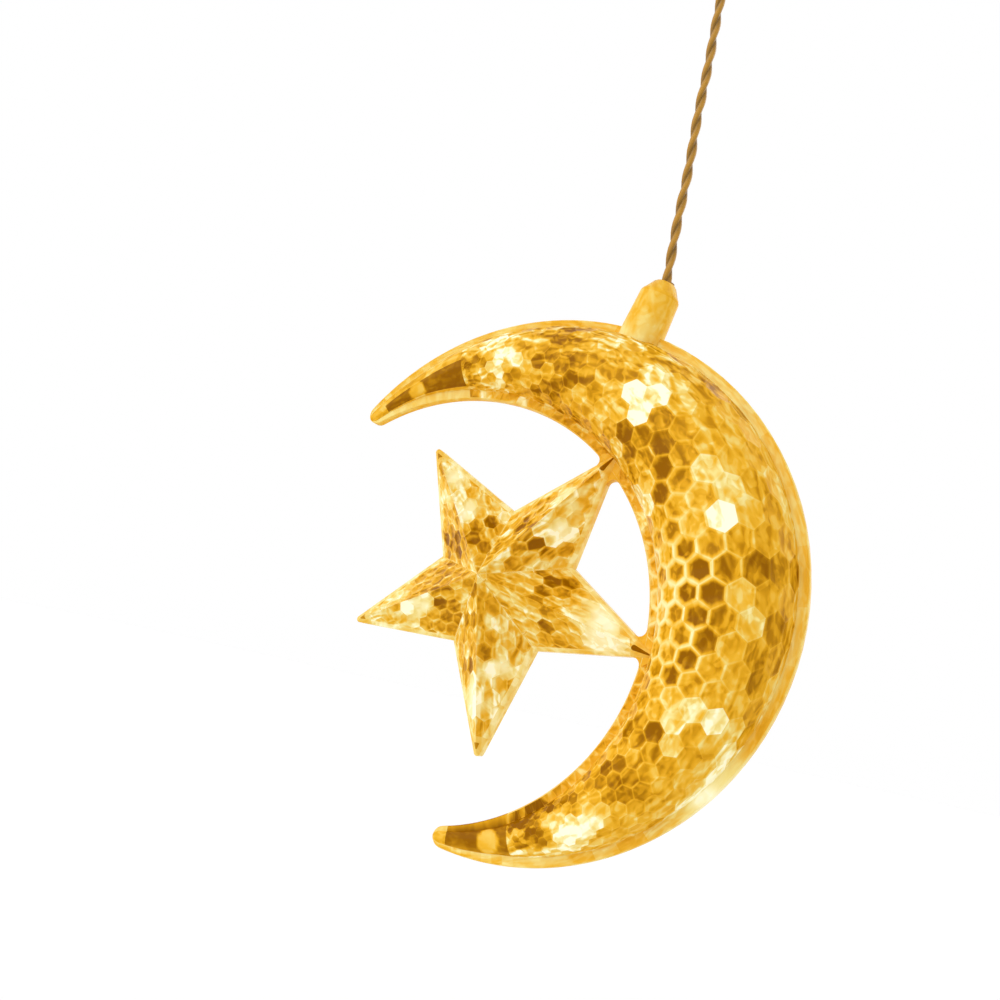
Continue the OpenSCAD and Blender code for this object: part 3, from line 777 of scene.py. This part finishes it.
def strip_look(row, kind, rim_tone):
    """Tone and play of one face between two loops, or nothing where the honeycomb lies."""
    if kind == "honeycomb" and RIM_ROW <= row < ROWS:
        return None
    if row in DARK_ROWS.get(kind, ()):
        return WINDOW_SHADE_TONE + WINDOW_FADE * max(row / ROWS, 0) ** 3, SOLID_PLAY
    if 0 <= row < ROWS:
        return WINDOW_BORDER_TONE, BORDER_PLAY
    if row < 0:
        return RIM_TONE if row == RIM_ROW else SIDE_TONE, SOLID_PLAY
    if row < ROWS + EDGE_POINTS:
        return rim_tone if row == ROWS else OUTSIDE_TONE, SOLID_PLAY
    return HOLLOW_TONE, SOLID_PLAY


print("dark rows", [len(rows) for rows in DARK_ROWS.values()], "in the two windows")

# %% [markdown]
# ## Building one half of the moon
# The loops are joined first: the horn's tips, a smooth window at each end, and the rims and
# the hollow all along. Then each cell of the honeycomb gets its chance tone, its crest with its
# painted highlight, and its depth, and is dished between them. Towards the horns the cells give
# way to streaks.

# %% Join the moon's loops
LOWER_STEPS, UPPER_STEPS = 20, 40
TIP_CLEAR = turned(0.3, 2.2)
RIM_SPREAD, RIM_PATCH, RIM_SEED = 0.1, 3, 40
print(LOWER_STEPS, "and", UPPER_STEPS, "steps along the smooth windows")


def join_moon(moon, side, seed):
    """Joins the loops along the moon, and leaves the honeycomb's strip open."""
    rim_chance = random.Random(seed + RIM_SEED)
    turns = [mix(-arc_end, HONEY_START, i / LOWER_STEPS) for i in range(LOWER_STEPS)]
    turns += [reading(angles, k) for k in range(0, COLUMNS + 1, 2)]
    turns += [mix(HONEY_END, arc_end, i / UPPER_STEPS) for i in range(1, UPPER_STEPS + 1)]
    sections = [tip_section(share, -1) for share in TIP_SHARES]
    sections += [arc_section(angle) for angle in turns]
    sections += [tip_section(share, 1) for share in reversed(TIP_SHARES)]
    no_turns = [None] * len(TIP_SHARES)
    turns = no_turns + turns + no_turns
    first = len(TIP_SHARES) + LOWER_STEPS
    last = first + COLUMNS // 2
    middles = [middle_of(section) for section in sections]
    steps = [math.dist(a, b) for a, b in zip(middles, middles[1:])]
    along, loops = -sum(steps[:first]), []
    for i, (section, angle) in enumerate(zip(sections, turns)):
        along += steps[i - 1] if i else 0.0
        loops.append(moon_loop(moon, section, side, along, angle, first < i < last))
    for i, (a, b) in enumerate(zip(loops, loops[1:])):
        if i % RIM_PATCH == 0:
            rim_tone = RIM_TONE + rim_chance.uniform(-RIM_SPREAD, RIM_SPREAD)
        kind = "lower" if i < first else "upper" if i >= last else "honeycomb"
        ends = turns[i:i + 2]
        if None in ends or abs(sum(ends)) / 2 > arc_end - TIP_CLEAR[i >= last]:
            kind = "tip"
        moon.strip(a, b, [strip_look(n - EDGE_POINTS, kind, rim_tone) for n in range(len(a))])
    moon.face(loops[0], SIDE_TONE)
    moon.face(loops[-1], SIDE_TONE)

# %% Half moon
INNER_TONE, OUTER_TONE = 0.4, 0.47
INNER_SPREAD, OUTER_SPREAD = 0.13, 0.06
INNER_BORDER_TONE, OUTER_BORDER_TONE = 0.48, 0.6
HORN_TONE, DISH_SHARE = 0.06, 0.062
MOON_CREST, MOON_HOLD, MOON_LIP, MOON_GLINT = (0.16, 1.0), (0.0, 0.8), (0.13, 0.22), (0.1, 0.7)
DRAWN_CREST, DRAWN_SPREAD, DRAWN_PLAY, OUTER_PLAY = 0.8, 0.5, 0.7, 0.15
moon_cells = honeycomb((-2, COLUMNS + 2), (RIM_ROW, ROWS))
print(len(moon_cells), "cells reach into each half of the moon")


def with_border_points(cell):
    """Adds the loops' points to a cell's edges on the patch's border, so that both meet."""
    full = []
    for p, q in sides(cell):
        full.append(p)
        for axis, borders, step in ((0, (RIM_ROW, ROWS), 2), (1, (0, COLUMNS), 1)):
            level = p[1 - axis]
            if (abs(level - q[1 - axis]) > TOUCH
                    or min(abs(level - border) for border in borders) > TOUCH):
                continue
            low, high = sorted((p[axis], q[axis]))
            between = [n for n in range(math.ceil(low), math.floor(high) + 1)
                       if n % step == 0 and low + TOUCH < n < high - TOUCH]
            between.sort(reverse=p[axis] > q[axis])
            full += [(level, n) if axis else (n, level) for n in between]
    return full


def half_moon(side, seed):
    moon, chance = Moulding(), random.Random(seed)
    join_moon(moon, side, seed)
    borders = [(-1, 0, 0), (1, 0, COLUMNS), (0, -1, -RIM_ROW), (0, 1, ROWS)]
    for k, j in moon_cells:
        cell = clipped([(k + a, j + b) for a, b in FULL_CELL], borders)
        if not cell:
            continue
        cell = with_border_points(cell)
        angle = reading(angles, clamp(middle_of(cell)[0], 0, COLUMNS))
        outer = share_of(j, *OUTER_ROWS)
        crest_lit, drawn = crest_light(angle, j), streaks(angle, j)
        tone = chance.gauss(mix(INNER_TONE, OUTER_TONE, outer),
                            mix(INNER_SPREAD, OUTER_SPREAD, outer) * (1 - DRAWN_SPREAD * drawn))
        tone += HORN_TONE * near_horns(angle, LOWER_HORN, UPPER_HORN)
        tone += spot_sum(moon_glow, *along_and_across(angle, j))
        if j in (RIM_ROW, 0) and angle > LOWER_FADE[1]:
            tone = max(tone, INNER_BORDER_TONE)
        if j == ROWS:
            tone = max(tone, OUTER_BORDER_TONE)
        depth = DISH_SHARE * row_step(angle) * 2 * math.sqrt(area(cell) / 6)
        dish(moon, cell, lambda a, b, sink: moon_surface(a, b, sink, side), depth,
             clamp(tone, 0.0, TONE_CAP), chance,
             crest=mix(*MOON_CREST, crest_lit) * (1 - DRAWN_CREST * drawn),
             hold=mix(*MOON_HOLD, crest_lit), lip=mix(*MOON_LIP, crest_lit),
             glint=mix(*MOON_GLINT, crest_lit), play=1 - OUTER_PLAY * outer + DRAWN_PLAY * drawn)
    return moon

# %% [markdown]
# ## The star's facets
# The star is a ten-sided pyramid: each arm has two slopes that meet in its ridge. Every slope
# is drawn flat, with `u` along the arm and `v` across it. The same pattern is mirrored at the
# ridge, so the cells also meet in the valleys. A narrow smooth band follows the outer edge.

# %% Star layout
star_x = (math.sqrt((MOON_INNER_R + STAR_JOINT_DEPTH) ** 2
                    - (STAR_REACH_R * math.sin(ARM_STEP / 2)) ** 2)
          - MOON_GAP - STAR_REACH_R * math.cos(ARM_STEP / 2))
NOTCH_U, NOTCH_V = STAR_NOTCH_R * math.cos(ARM_STEP / 2), STAR_NOTCH_R * math.sin(ARM_STEP / 2)
CORNER_R = STAR_REACH_R + STAR_TIP_R * (
    1 / math.sin(math.atan2(NOTCH_V, STAR_REACH_R - NOTCH_U)) - 1)
EDGE_TURN = math.atan2(NOTCH_V, CORNER_R - NOTCH_U)
EDGE_LINE = (math.sin(EDGE_TURN), math.cos(EDGE_TURN), CORNER_R * math.sin(EDGE_TURN))
SLOPE_U = (STAR_PEAK_H - RIM_T) / CORNER_R
SLOPE_V = (STAR_PEAK_H - RIM_T - SLOPE_U * NOTCH_U) / NOTCH_V
STAR_BAND, FACETS_END_U = 1.0, 40.2
STEP_U, STEP_V = 1.25, 1.6
FLOW_U, FLOW_V, FLOW_STAR, FLOW_ARM = 1.1, 1.4, 60.0, 9.0
print("star centre", round(star_x, 2), "corner", round(CORNER_R, 2))


def arm_turn(arm):
    return ARM_STEP / 2 + STAR_LEAN + ARM_STEP * arm


def star_place(slope, u, v, sink=0.0, height=None):
    """A point of one slope, which is its arm, half and side, or at a height over its outline."""
    arm, half, side = slope
    normal = Vector((SLOPE_U, SLOPE_V, 1)).normalized()
    if height is None:
        height = STAR_PEAK_H - SLOPE_U * u - SLOPE_V * v - normal.z * sink
        u, v = u - normal.x * sink, v - normal.y * sink
    a = arm_turn(arm)
    x = star_x + u * math.cos(a) - half * v * math.sin(a)
    return hang(x, side * height, u * math.sin(a) + half * v * math.cos(a))


def slope_flow(slope, u, v):
    arm, half, side = slope
    return (u * FLOW_U, half * v * FLOW_V, FLOW_STAR + FLOW_ARM * arm + side)


def smooth_point(star, slope, u, v, height=None):
    return star.point(star_place(slope, u, v, height=height), 0.0, slope_flow(slope, u, v))

# %% [markdown]
# ## Where the star glows
# One light stands in each arm, so every arm has a pale zone half way out, and dark facets lie
# round the middle, where nothing is lit. The spots are set for each arm and each of its two
# slopes: how far along the arm, how far from its ridge, a reach, all in mm, and a gain.

# %% Light and dark spots of the star
STAR_SPOTS = {
    (0, 1): [(29, 0.8, 3.5, 0.36), (19.5, 1.5, 2.6, -0.34), (15, 4, 3, -0.4), (5, 3.6, 2, -0.3)],
    (0, -1): [(21.5, 4.6, 3.2, 0.52), (28.5, 2.4, 2.8, 0.28), (34, 1.8, 2.6, 0.2),
              (15, 2.4, 2.8, -0.44), (26.5, 6.2, 2, -0.2)],
    (1, -1): [(21, 1.8, 3.8, 0.52), (33.5, 2, 3.8, 0.36), (16, 6, 2.8, -0.48),
              (9.5, 1.6, 2.5, -0.4)],
    (1, 1): [(14.5, 4.6, 3, -0.4), (10, 4, 3, -0.38), (17.5, 8, 3, -0.3), (29, 2, 4, 0.14)],
    (2, -1): [(10.5, 4.4, 3.4, -0.4), (15, 2, 2.6, -0.34), (30, 1.5, 4, 0.26)],
    (2, 1): [(19.5, 2.4, 3.4, 0.44), (25.5, 2.2, 3.6, 0.46), (10, 1.6, 2.5, -0.4),
             (15.6, 2.2, 2.2, -0.4), (14.5, 6.2, 3, -0.5), (21.5, 6.6, 3, -0.4)],
    (3, 1): [(23, 4.4, 3.4, 0.52), (32.5, 0.8, 3.4, 0.36), (19, 2, 2.6, -0.5),
             (26, 6, 2.6, -0.3), (36, 1.2, 2.4, -0.2)],
    (3, -1): [(29, 1.4, 3.6, 0.4), (34, 2, 3, 0.3), (20.5, 3, 3, -0.42), (12, 4, 3, -0.2)],
    (4, 1): [(31, 2.5, 6, 0.5), (15, 6.4, 3, -0.4), (18.5, 6, 2.6, -0.3), (5, 1, 2, -0.25)],
    (4, -1): [(33, 1.5, 6, 0.5), (19.5, 6.2, 3.4, -0.5), (24.5, 5.4, 3, -0.3)]}
JOINED_ARMS = (0, 4)
print(sum(len(spots) for spots in STAR_SPOTS.values()), "spots on the star's ten slopes")

# %% [markdown]
# ## The cells of one slope
# Four lines cut each slope out of the honeycomb: its ridge, its valley, the band along the
# outer edge and the line where the facets end at the tip. The points on the last two lines are
# handed on, so that the smooth band and tip join up with the cells.

# %% Cells of one slope
STAR_TONE, STAR_SPREAD, WHOLE_ENOUGH, NEAR = 0.545, 0.125, 0.4, 1e-4
STAR_DISH, STAR_CREST, STAR_HOLD, STAR_LIP, STAR_GLINT = 0.3, 0.6, 0.3, 0.18, 0.35
CELL_GAIN, SOFT_GAIN = 0.66, 4.6
star_cells = honeycomb((-2, round(CORNER_R / STEP_U) + 2), (0, round(NOTCH_V / STEP_V) + 2))
print(len(star_cells), "cells lie in or round each slope")


def star_slope(star, slope, chance):
    """The cells of one slope; returns its points on the band's and the tip's lines."""
    a, b, c = EDGE_LINE
    turn = ARM_STEP / 2
    spots = STAR_SPOTS[slope[:2]]
    lines = [(0, -1, 0), (-math.sin(turn), math.cos(turn), 0), (a, b, c - STAR_BAND),
             (1, 0, FACETS_END_U)]

    def surface(u, v, sink):
        return star_place(slope, u, max(v, 0.0), sink), slope_flow(slope, u, v)

    def glow(u, v):
        return SOFT_GAIN * max(spot_sum(spots, u, v), 0.0)

    band, tip = {}, {}
    for k, j in star_cells:
        cell = clipped([((k + p) * STEP_U, (j + q) * STEP_V) for p, q in FULL_CELL], lines)
        if not cell or area(cell) < NEAR:
            continue
        whole = area(cell) / (6 * STEP_U * STEP_V)
        tone = chance.gauss(STAR_TONE, STAR_SPREAD)
        if whole < WHOLE_ENOUGH:
            tone = max(tone, STAR_TONE)
        spot = spot_sum(spots, *middle_of(cell))
        tone = clamp(tone + min(spot, CELL_GAIN * spot), 0.0, TONE_CAP)
        dish(star, cell, surface, STAR_DISH * math.sqrt(whole), tone, chance, crest=STAR_CREST,
             hold=STAR_HOLD, lip=STAR_LIP, glint=STAR_GLINT, glow=glow)
        for u, v in cell:
            place, flow = surface(u, v, 0.0)
            index = star.point(place, max(STAR_CREST, glow(u, v)), flow)
            if abs(a * u + b * v - (c - STAR_BAND)) < NEAR:
                band[index] = (u, v)
            if abs(u - FACETS_END_U) < NEAR:
                tip[index] = (u, v)
    by_u = sorted(band.items(), key=lambda item: item[1][0])
    by_v = sorted(tip.items(), key=lambda item: item[1][1])
    return by_u, by_v

# %% [markdown]
# ## Tips and webs
# A small dark mark near each tip shows where the plastic turns solid. In the two arms that
# run into the moon's rim it is long, for the wires behind it. There the mould also has a
# rounded web in each corner, so the arm doesn't break off at the rim.

# %% Marks and webs
STAR_TIP_LOOK, WEB_LOOK = (0.64, 0.3), (0.56, 0.3)
MARK, JOINED_MARK, MARK_WIDE = (42.6, 0.34, 0.22), (42.8, 0.95, 0.02), 0.3
WEB_R, WEB_STEPS, WEB_DEEP, WEB_HEIGHTS, WEB_FLOW = 1.9, 8, 0.4, (RIM_T * 0.96, 0.02), 9.0
print(2 * len(JOINED_ARMS), "webs on each half")


def mark_tip(star, ring, slope):
    """Fills the tip's ring of (point, (u, v)) round a small dark mark where the arm's two slopes
    meet. A mark has its place along the arm, its length as a share of the tip's, and its tone."""
    mark_u, long, mark_tone = JOINED_MARK if slope[0] in JOINED_ARMS else MARK
    inner = [smooth_point(star, slope, mix(mark_u, u, long), v * MARK_WIDE)
             for _, (u, v) in ring]
    looks = [None if max(p[1][1], q[1][1]) < TOUCH else STAR_TIP_LOOK for p, q in sides(ring)]
    star.strip([index for index, _ in ring], inner, looks)
    star.face(inner, mark_tone)


def web(star, slope):
    """The rounded web that fills the corner between a joined arm and the moon's rim."""
    arm, half, side = slope
    a = arm_turn(arm)
    outward = Vector((math.cos(a - half * EDGE_TURN), math.sin(a - half * EDGE_TURN)))
    across = Vector((-outward.y, outward.x)) * half
    corner = Vector((star_x + CORNER_R * math.cos(a), CORNER_R * math.sin(a)))
    moon_middle = Vector((-MOON_GAP, 0.0))
    from_middle = corner + across * WEB_R - moon_middle
    b = from_middle.dot(outward)
    t = -b + math.sqrt(b * b - from_middle.length_squared + (MOON_INNER_R - WEB_R) ** 2)
    centre = moon_middle + from_middle + outward * t
    on_arm = corner + outward * t
    to_moon = (centre - moon_middle).normalized()
    on_moon = moon_middle + to_moon * MOON_INNER_R
    turn = (on_arm - centre).angle_signed(on_moon - centre)
    arc = [centre + Matrix.Rotation(-turn * i / WEB_STEPS, 2) @ (on_arm - centre)
           for i in range(WEB_STEPS + 1)]
    outline = [on_arm - across * WEB_DEEP, *arc, on_moon + to_moon * WEB_DEEP,
               corner + outward * WEB_DEEP]
    tops, feet = ([star.point(hang(p.x, side * height, p.y), 0.0, (p.x, p.y, side * WEB_FLOW))
                   for p in outline] for height in WEB_HEIGHTS)
    star.face(tops, *WEB_LOOK)
    star.face(feet, *WEB_LOOK)
    star.strip(tops, feet, WEB_LOOK)

# %% [markdown]
# ## Building one half of the star
# Round its cells each slope gets a smooth band and a smooth tip, whose end is an arc. A strip
# down the side, a flat foot where the halves meet and the hollow behind close the shell.

# %% Half star
BAND_TONE, BAND_SPREAD, TIP_ARC_STEPS = 0.72, (-0.06, 0.08), 5
STAR_SIDE_LOOK, STAR_FOOT_LOOK, STAR_HOLLOW_LOOK = (0.76, 0.3), (SIDE_TONE, 0.3), (HOLLOW_TONE, 0.3)
hollow_share = 1 - (STAR_RIM_W + SHELL_WALL) / EDGE_LINE[2]
print("the star's hollow starts at", round(hollow_share, 2), "of its outline")


def half_star(side, seed):
    star, chance = Moulding(), random.Random(seed)
    star.point(star_place((0, 1, side), 0, 0, height=STAR_PEAK_H), STAR_CREST)
    a, b, c = EDGE_LINE
    hollow_peak_h = STAR_PEAK_H - SHELL_WALL / math.cos(math.atan2(STAR_PEAK_H - RIM_T, c))
    hollow_peak = star.point(star_place((0, 1, side), 0, 0, height=hollow_peak_h))
    arc_u = CORNER_R - STAR_TIP_R / math.sin(EDGE_TURN)
    for slope in [(arm, half, side) for arm in range(5) for half in (-1, 1)]:
        by_u, by_v = star_slope(star, slope, chance)
        outline = [(NOTCH_U, NOTCH_V)]
        outline += [(u + STAR_BAND * a, v + STAR_BAND * b) for _, (u, v) in by_u]
        for i in range(TIP_ARC_STEPS + 1):
            turn = (math.pi / 2 - EDGE_TURN) * (1 - i / TIP_ARC_STEPS)
            outline.append((arc_u + STAR_TIP_R * math.cos(turn), STAR_TIP_R * math.sin(turn)))
        edge = [smooth_point(star, slope, u, v, RIM_T) for u, v in outline]
        inner = [index for index, _ in by_u]
        star.face([inner[0], edge[0], edge[1]], BAND_TONE)
        star.strip(inner, edge[1:], [(BAND_TONE + chance.uniform(*BAND_SPREAD), SOLID_PLAY)
                                     for _ in inner[1:]], closed=False)
        mark_tip(star, by_v + list(zip(edge, outline))[len(inner):], slope)
        foot = [smooth_point(star, slope, u, v, 0.0) for u, v in outline]
        mouth = [smooth_point(star, slope, u * hollow_share, v * hollow_share, 0.0)
                 for u, v in outline]
        star.strip(edge, foot, STAR_SIDE_LOOK, closed=False)
        star.strip(foot, mouth, STAR_FOOT_LOOK, closed=False)
        star.strip(mouth, [hollow_peak] * len(mouth), STAR_HOLLOW_LOOK, closed=False)
        if slope[0] in JOINED_ARMS:
            web(star, slope)
    return star

# %% [markdown]
# ## The neck
# The neck is a short tapered tube with a chamfered cap, smooth on all sides, and the lead
# enters it straight down although the neck leans. Turning a profile half way round gives each
# half, and a Boolean modifier cuts the lead's hole, which no turning about the neck could.

# %% Half neck
NECK_CHAMFER, NECK_LIP_W, NECK_BORE_D = 0.9, 0.8, 8.6
NECK_STEPS, NECK_SIDE_FLOW = 36, 20.0
NECK_TONE, NECK_CAP_TONE, NECK_GLOW, NECK_PLAY = 0.56, 0.48, 0.6, 0.5


def neck_profile():
    """Radius and distance along the neck; the small steps round off the chamfers' edges."""
    root, end, bore = NECK_BASE_D / 2, NECK_END_D / 2, NECK_BORE_D / 2
    root_r, end_r = MOON_OUTER_R - MOON_RIM_W - root, MOON_OUTER_R + NECK_L
    lip, half_chamfer = GROMMET_R + NECK_LIP_W, NECK_CHAMFER / 2
    return [(root, root_r), (root, MOON_OUTER_R), (end + 0.04, end_r - NECK_CHAMFER - 0.3),
            (end - 0.03, end_r - NECK_CHAMFER + 0.1), (end - half_chamfer + 0.05, end_r - 0.1),
            (end - half_chamfer - 0.15, end_r + 0.06), (lip + 0.2, MOUTH_R - half_chamfer - 0.1),
            (lip, MOUTH_R - half_chamfer), (lip - half_chamfer, MOUTH_R), (0.0, MOUTH_R),
            (0.0, end_r), (bore, end_r), (bore, root_r)]


def half_neck(side):
    neck, loops = Moulding(), []
    along = (math.cos(NECK_ANGLE), math.sin(NECK_ANGLE))
    for i in range(NECK_STEPS + 1):
        turn = math.pi * i / NECK_STEPS
        loop = []
        for radius, distance in neck_profile():
            across, depth = radius * math.cos(turn), radius * max(math.sin(turn), 0.0)
            place = hang(along[0] * distance + along[1] * across, side * depth,
                         along[1] * distance - along[0] * across)
            glow = NECK_GLOW * max(1 - (distance - MOON_OUTER_R) / NECK_L, 0.0)
            flow = (distance, radius * turn, side * NECK_SIDE_FLOW)
            loop.append(neck.point(place, glow, flow))
        loops.append(loop)
    looks = [(NECK_TONE if i < 2 else NECK_CAP_TONE, NECK_PLAY) for i in range(len(loop))]
    for a, b in zip(loops, loops[1:]):
        neck.strip(a, b, looks)
    neck.face(loops[0], NECK_TONE)
    neck.face(loops[-1], NECK_TONE)
    return neck


print("neck profile of", len(neck_profile()), "points")

# %% Hole for the lead
DRILL_SIDES = 48


def cut_lead_hole(neck):
    bpy.ops.mesh.primitive_cylinder_add(vertices=DRILL_SIDES, radius=GROMMET_R * MM,
                                        depth=3 * NECK_CAP_RISE * MM,
                                        location=(0, 0, MOUTH_Z * MM))
    drill = bpy.context.object
    cut = neck.modifiers.new("lead hole", "BOOLEAN")
    cut.object, cut.operation, cut.solver = drill, "DIFFERENCE", "EXACT"
    bpy.context.view_layer.update()
    evaluated = neck.evaluated_get(bpy.context.evaluated_depsgraph_get())
    mesh = bpy.data.meshes.new_from_object(evaluated)
    neck.modifiers.clear()
    neck.data = mesh
    bpy.data.objects.remove(drill)
    print(neck.name, "with its hole:", len(mesh.polygons), "faces")

# %% [markdown]
# ## Handling marks
# Moulded plastic is never perfectly even. Broad, soft smudges change how it shines, and a very
# fine grain breaks up the reflections. The plainer finishes all use this group, each at its own
# scale, to vary their roughness, their colour a little and their height.

# %% Group: handling marks
GRAIN_FINER, SMUDGE_SHARE, GRAIN_SHARE = 14.0, 0.6, 0.4
SHADE_CORE, SHADES = (0.25, 0.75), (0.82, 1.1)

marks, given, gives = group_of(
    "handling marks",
    [("Scale", "Float", 150.0), ("Low", "Float", 0.2), ("High", "Float", 0.4)],
    [("Roughness", "Float"), ("Shade", "Float"), ("Height", "Float")])
place = node(marks, "TexCoord", {}).outputs["Object"]
smudges = noise(marks, place, given["Scale"], 4.0, 0.6, 0.3)
grain = noise(marks, place, maths(marks, "MULTIPLY", given["Scale"], GRAIN_FINER), 2.0)
feed(marks, gives, {
    "Roughness": map_range(marks, smudges, *NOISE_CORE, given["Low"], given["High"]),
    "Shade": map_range(marks, smudges, *SHADE_CORE, *SHADES),
    "Height": maths(marks, "ADD", maths(marks, "MULTIPLY", smudges, SMUDGE_SHARE),
                    maths(marks, "MULTIPLY", grain, GRAIN_SHARE))})
print("group", marks.name, len(marks.nodes), "nodes")

# %% [markdown]
# ## The plainer plastics
# The lead and the inner wires are clear golden insulation over copper, the sleeves are shrunk
# tubing, the grommet is soft rubber, the hook and end eye are solid moulded plastic, and the
# lights' lenses are clear resin, lit within. All share one recipe: a base colour, shaded
# unevenly by the handling marks, and a fine bump. `tone_gain` says how much the mesh's own tone
# adds, which paints light on the twisted lead's outer side and painted shade in its groove.

# %% Recipe for the plainer plastics
def plain(name, colour, gloss, scale, bumps, tone_gain=0.0, **constants):
    """`gloss` is the lowest and highest roughness, `bumps` a strength and a height in mm."""
    material, tree, inputs = material_with(name, **constants)
    wear = node(tree, "Group", {"Scale": scale, "Low": gloss[0], "High": gloss[1]},
                node_tree=marks).outputs
    shade = wear["Shade"]
    # The mesh's tone adds painted light and shade: on the lead, its lit outer side and shaded
    # groove.
    if tone_gain:
        above = maths(tree, "SUBTRACT", fact(tree, "tone"), 0.5)
        shade = maths(tree, "MULTIPLY_ADD", above, tone_gain, shade)
    base = node(tree, "Mix", {"Factor": 1.0, "A": linear(colour), "B": shade},
                data_type="RGBA", blend_type="MULTIPLY").outputs["Result"]
    feed(tree, inputs, {"Base Color": base, "Roughness": wear["Roughness"],
                        "Normal": bump(tree, wear["Height"], *bumps)})
    return material

# %% Make the finishes
lead_gold = plain("lead insulation", "#996f24", (0.24, 0.4), 260.0, (0.2, 0.05), tone_gain=1.1,
                  Specular_IOR_Level=0.2, Coat_Weight=0.1, Coat_Roughness=0.12)
wire_gold = plain("inner wire", "#c08a2a", (0.2, 0.35), 260.0, (0.15, 0.04), Coat_Weight=0.3)
sleeve_cream = plain("shrunk sleeve", "#dcc694", (0.4, 0.62), 420.0, (0.5, 0.12))
grommet_brown = plain("soft grommet", "#9a6a1a", (0.5, 0.7), 380.0, (0.35, 0.06))
fitting_gold = plain("moulded fitting", "#c98a24", (0.28, 0.44), 160.0, (0.2, 0.06),
                     Coat_Weight=0.15, Coat_Roughness=0.2)
lens_white = plain("light lens", "#fff1c4", (0.06, 0.14), 300.0, (0.1, 0.03), Coat_Weight=0.4,
                   Emission_Color=linear("#ffe7a0"), Emission_Strength=1.2)
print(len(bpy.data.materials), "materials")

# %% [markdown]
# ## Putting the ornament together
# The drawn halves replace the solid model's two shells, and the twisted pair replaces the
# lead's plain tube. Everything else keeps its solid, whose shape is already right, and only
# gets its finish. Each piece rides on its own body, so the joints carry it along.

# %% Place the shells, the neck and the lead
FRONT, BACK = -1, 1
STAR_SEED = 10
for side, end, seed in ((FRONT, "front", 11), (BACK, "back", 12)):
    shell = ("ornament", "shell_plastic", end + "_shell")
    half_moon(side, seed).build("moon_" + end, moon_gold, *shell)
    half_star(side, seed + STAR_SEED).build("star_" + end, star_gold, *shell)
    cut_lead_hole(half_neck(side).build("neck_" + end, neck_gold, *shell))
lead = twisted_lead().build("twisted_lead", lead_gold, "lead", "lead_wire", "drop_lead")

# %% Finish the solids that stay
FINISHES = {"cord_grommet": grommet_brown, "neck_splice": sleeve_cream, "lead_stop": sleeve_cream,
            "moon_light_sleeves": sleeve_cream, "star_light_sleeves": sleeve_cream,
            "lead_end_eye": fitting_gold, "hanging_hook": fitting_gold}
for name, solid in nodes.items():
    finish = FINISHES.get(name)
    if finish is None and "_light_" in name:
        finish = lens_white
    if finish is None and name.endswith("_wire"):
        finish = wire_gold
    if finish is None:
        continue
    solid.data.materials.clear()
    solid.data.materials.append(finish)
    print(name, "->", finish.name)

# %% [markdown]
# ## Floor, background and lamps
# The ornament hangs over a plain pale floor. Seen by the camera, in reflections and through
# clear pieces, the world is pure white as in the photo, but its light on the ornament is
# plainer. Two broad soft suns light it from the front left and the back right. The floor gives
# the camera a little more white than it is lit with, so that only the shadow shows on it.

# %% Floor
FLOOR_Z, FLOOR_SIZE, FLOOR_LIFT = -0.36, 12.0, 0.05
WHITE = (1, 1, 1, 1)
bpy.ops.mesh.primitive_plane_add(size=FLOOR_SIZE, location=(0, 0, FLOOR_Z))
floor = bpy.context.object
floor.name = "pale_floor"
floor_paint, paint, paint_inputs = material_with(
    "floor paint", Roughness=0.75, Specular_IOR_Level=0.1, Emission_Color=WHITE)
mottle = node(paint, "TexNoise", {"Scale": 3.0, "Detail": 3.0}).outputs["Fac"]
by_camera = node(paint, "LightPath", {}).outputs["Is Camera Ray"]
feed(paint, paint_inputs, {"Base Color": ramp(paint, mottle, [(0.3, "#f7f7f7"), (0.7, "#fbfbfb")]),
                           "Emission Strength": maths(paint, "MULTIPLY", by_camera, FLOOR_LIFT)})
floor.data.materials.append(floor_paint)
print(floor.name, "at", FLOOR_Z, "m")

# %% Background
AMBIENT = 0.7
world = bpy.data.worlds.new("studio")
world.use_nodes = True
bpy.context.scene.world = world
sky = world.node_tree
sky.nodes.clear()
rays = node(sky, "LightPath", {}).outputs
seen = maths(sky, "MAXIMUM", rays["Is Camera Ray"],
             maths(sky, "MAXIMUM", rays["Is Glossy Ray"], rays["Is Transmission Ray"]))
strength = map_range(sky, seen, 0.0, 1.0, AMBIENT, 1.0)
background = node(sky, "Background", {"Color": WHITE, "Strength": strength})
node(sky, "OutputWorld", {"Surface": background.outputs[0]})
print("the world lights the ornament at", AMBIENT)

# %% Lamps
def sun(name, direction, strength, spread_degrees):
    """A sun whose light comes from `direction`; a wide one casts a soft shadow."""
    data = bpy.data.lights.new(name, "SUN")
    data.energy, data.angle = strength, math.radians(spread_degrees)
    made = bpy.data.objects.new(name, data)
    made.rotation_euler = Vector(direction).to_track_quat("Z", "Y").to_euler()
    bpy.context.scene.collection.objects.link(made)
    print("sun", name, strength)


sun("key", (-0.5, -0.75, 0.55), 1.15, 65)
sun("back", (0.55, 0.7, 0.5), 0.95, 70)

# %% [markdown]
# ## The finish
# The dressed ornament may not outgrow the solid model. The colour view is set to Standard,
# so colours show as they were chosen.

# %% The colour view
bpy.context.scene.view_settings.view_transform = "Standard"
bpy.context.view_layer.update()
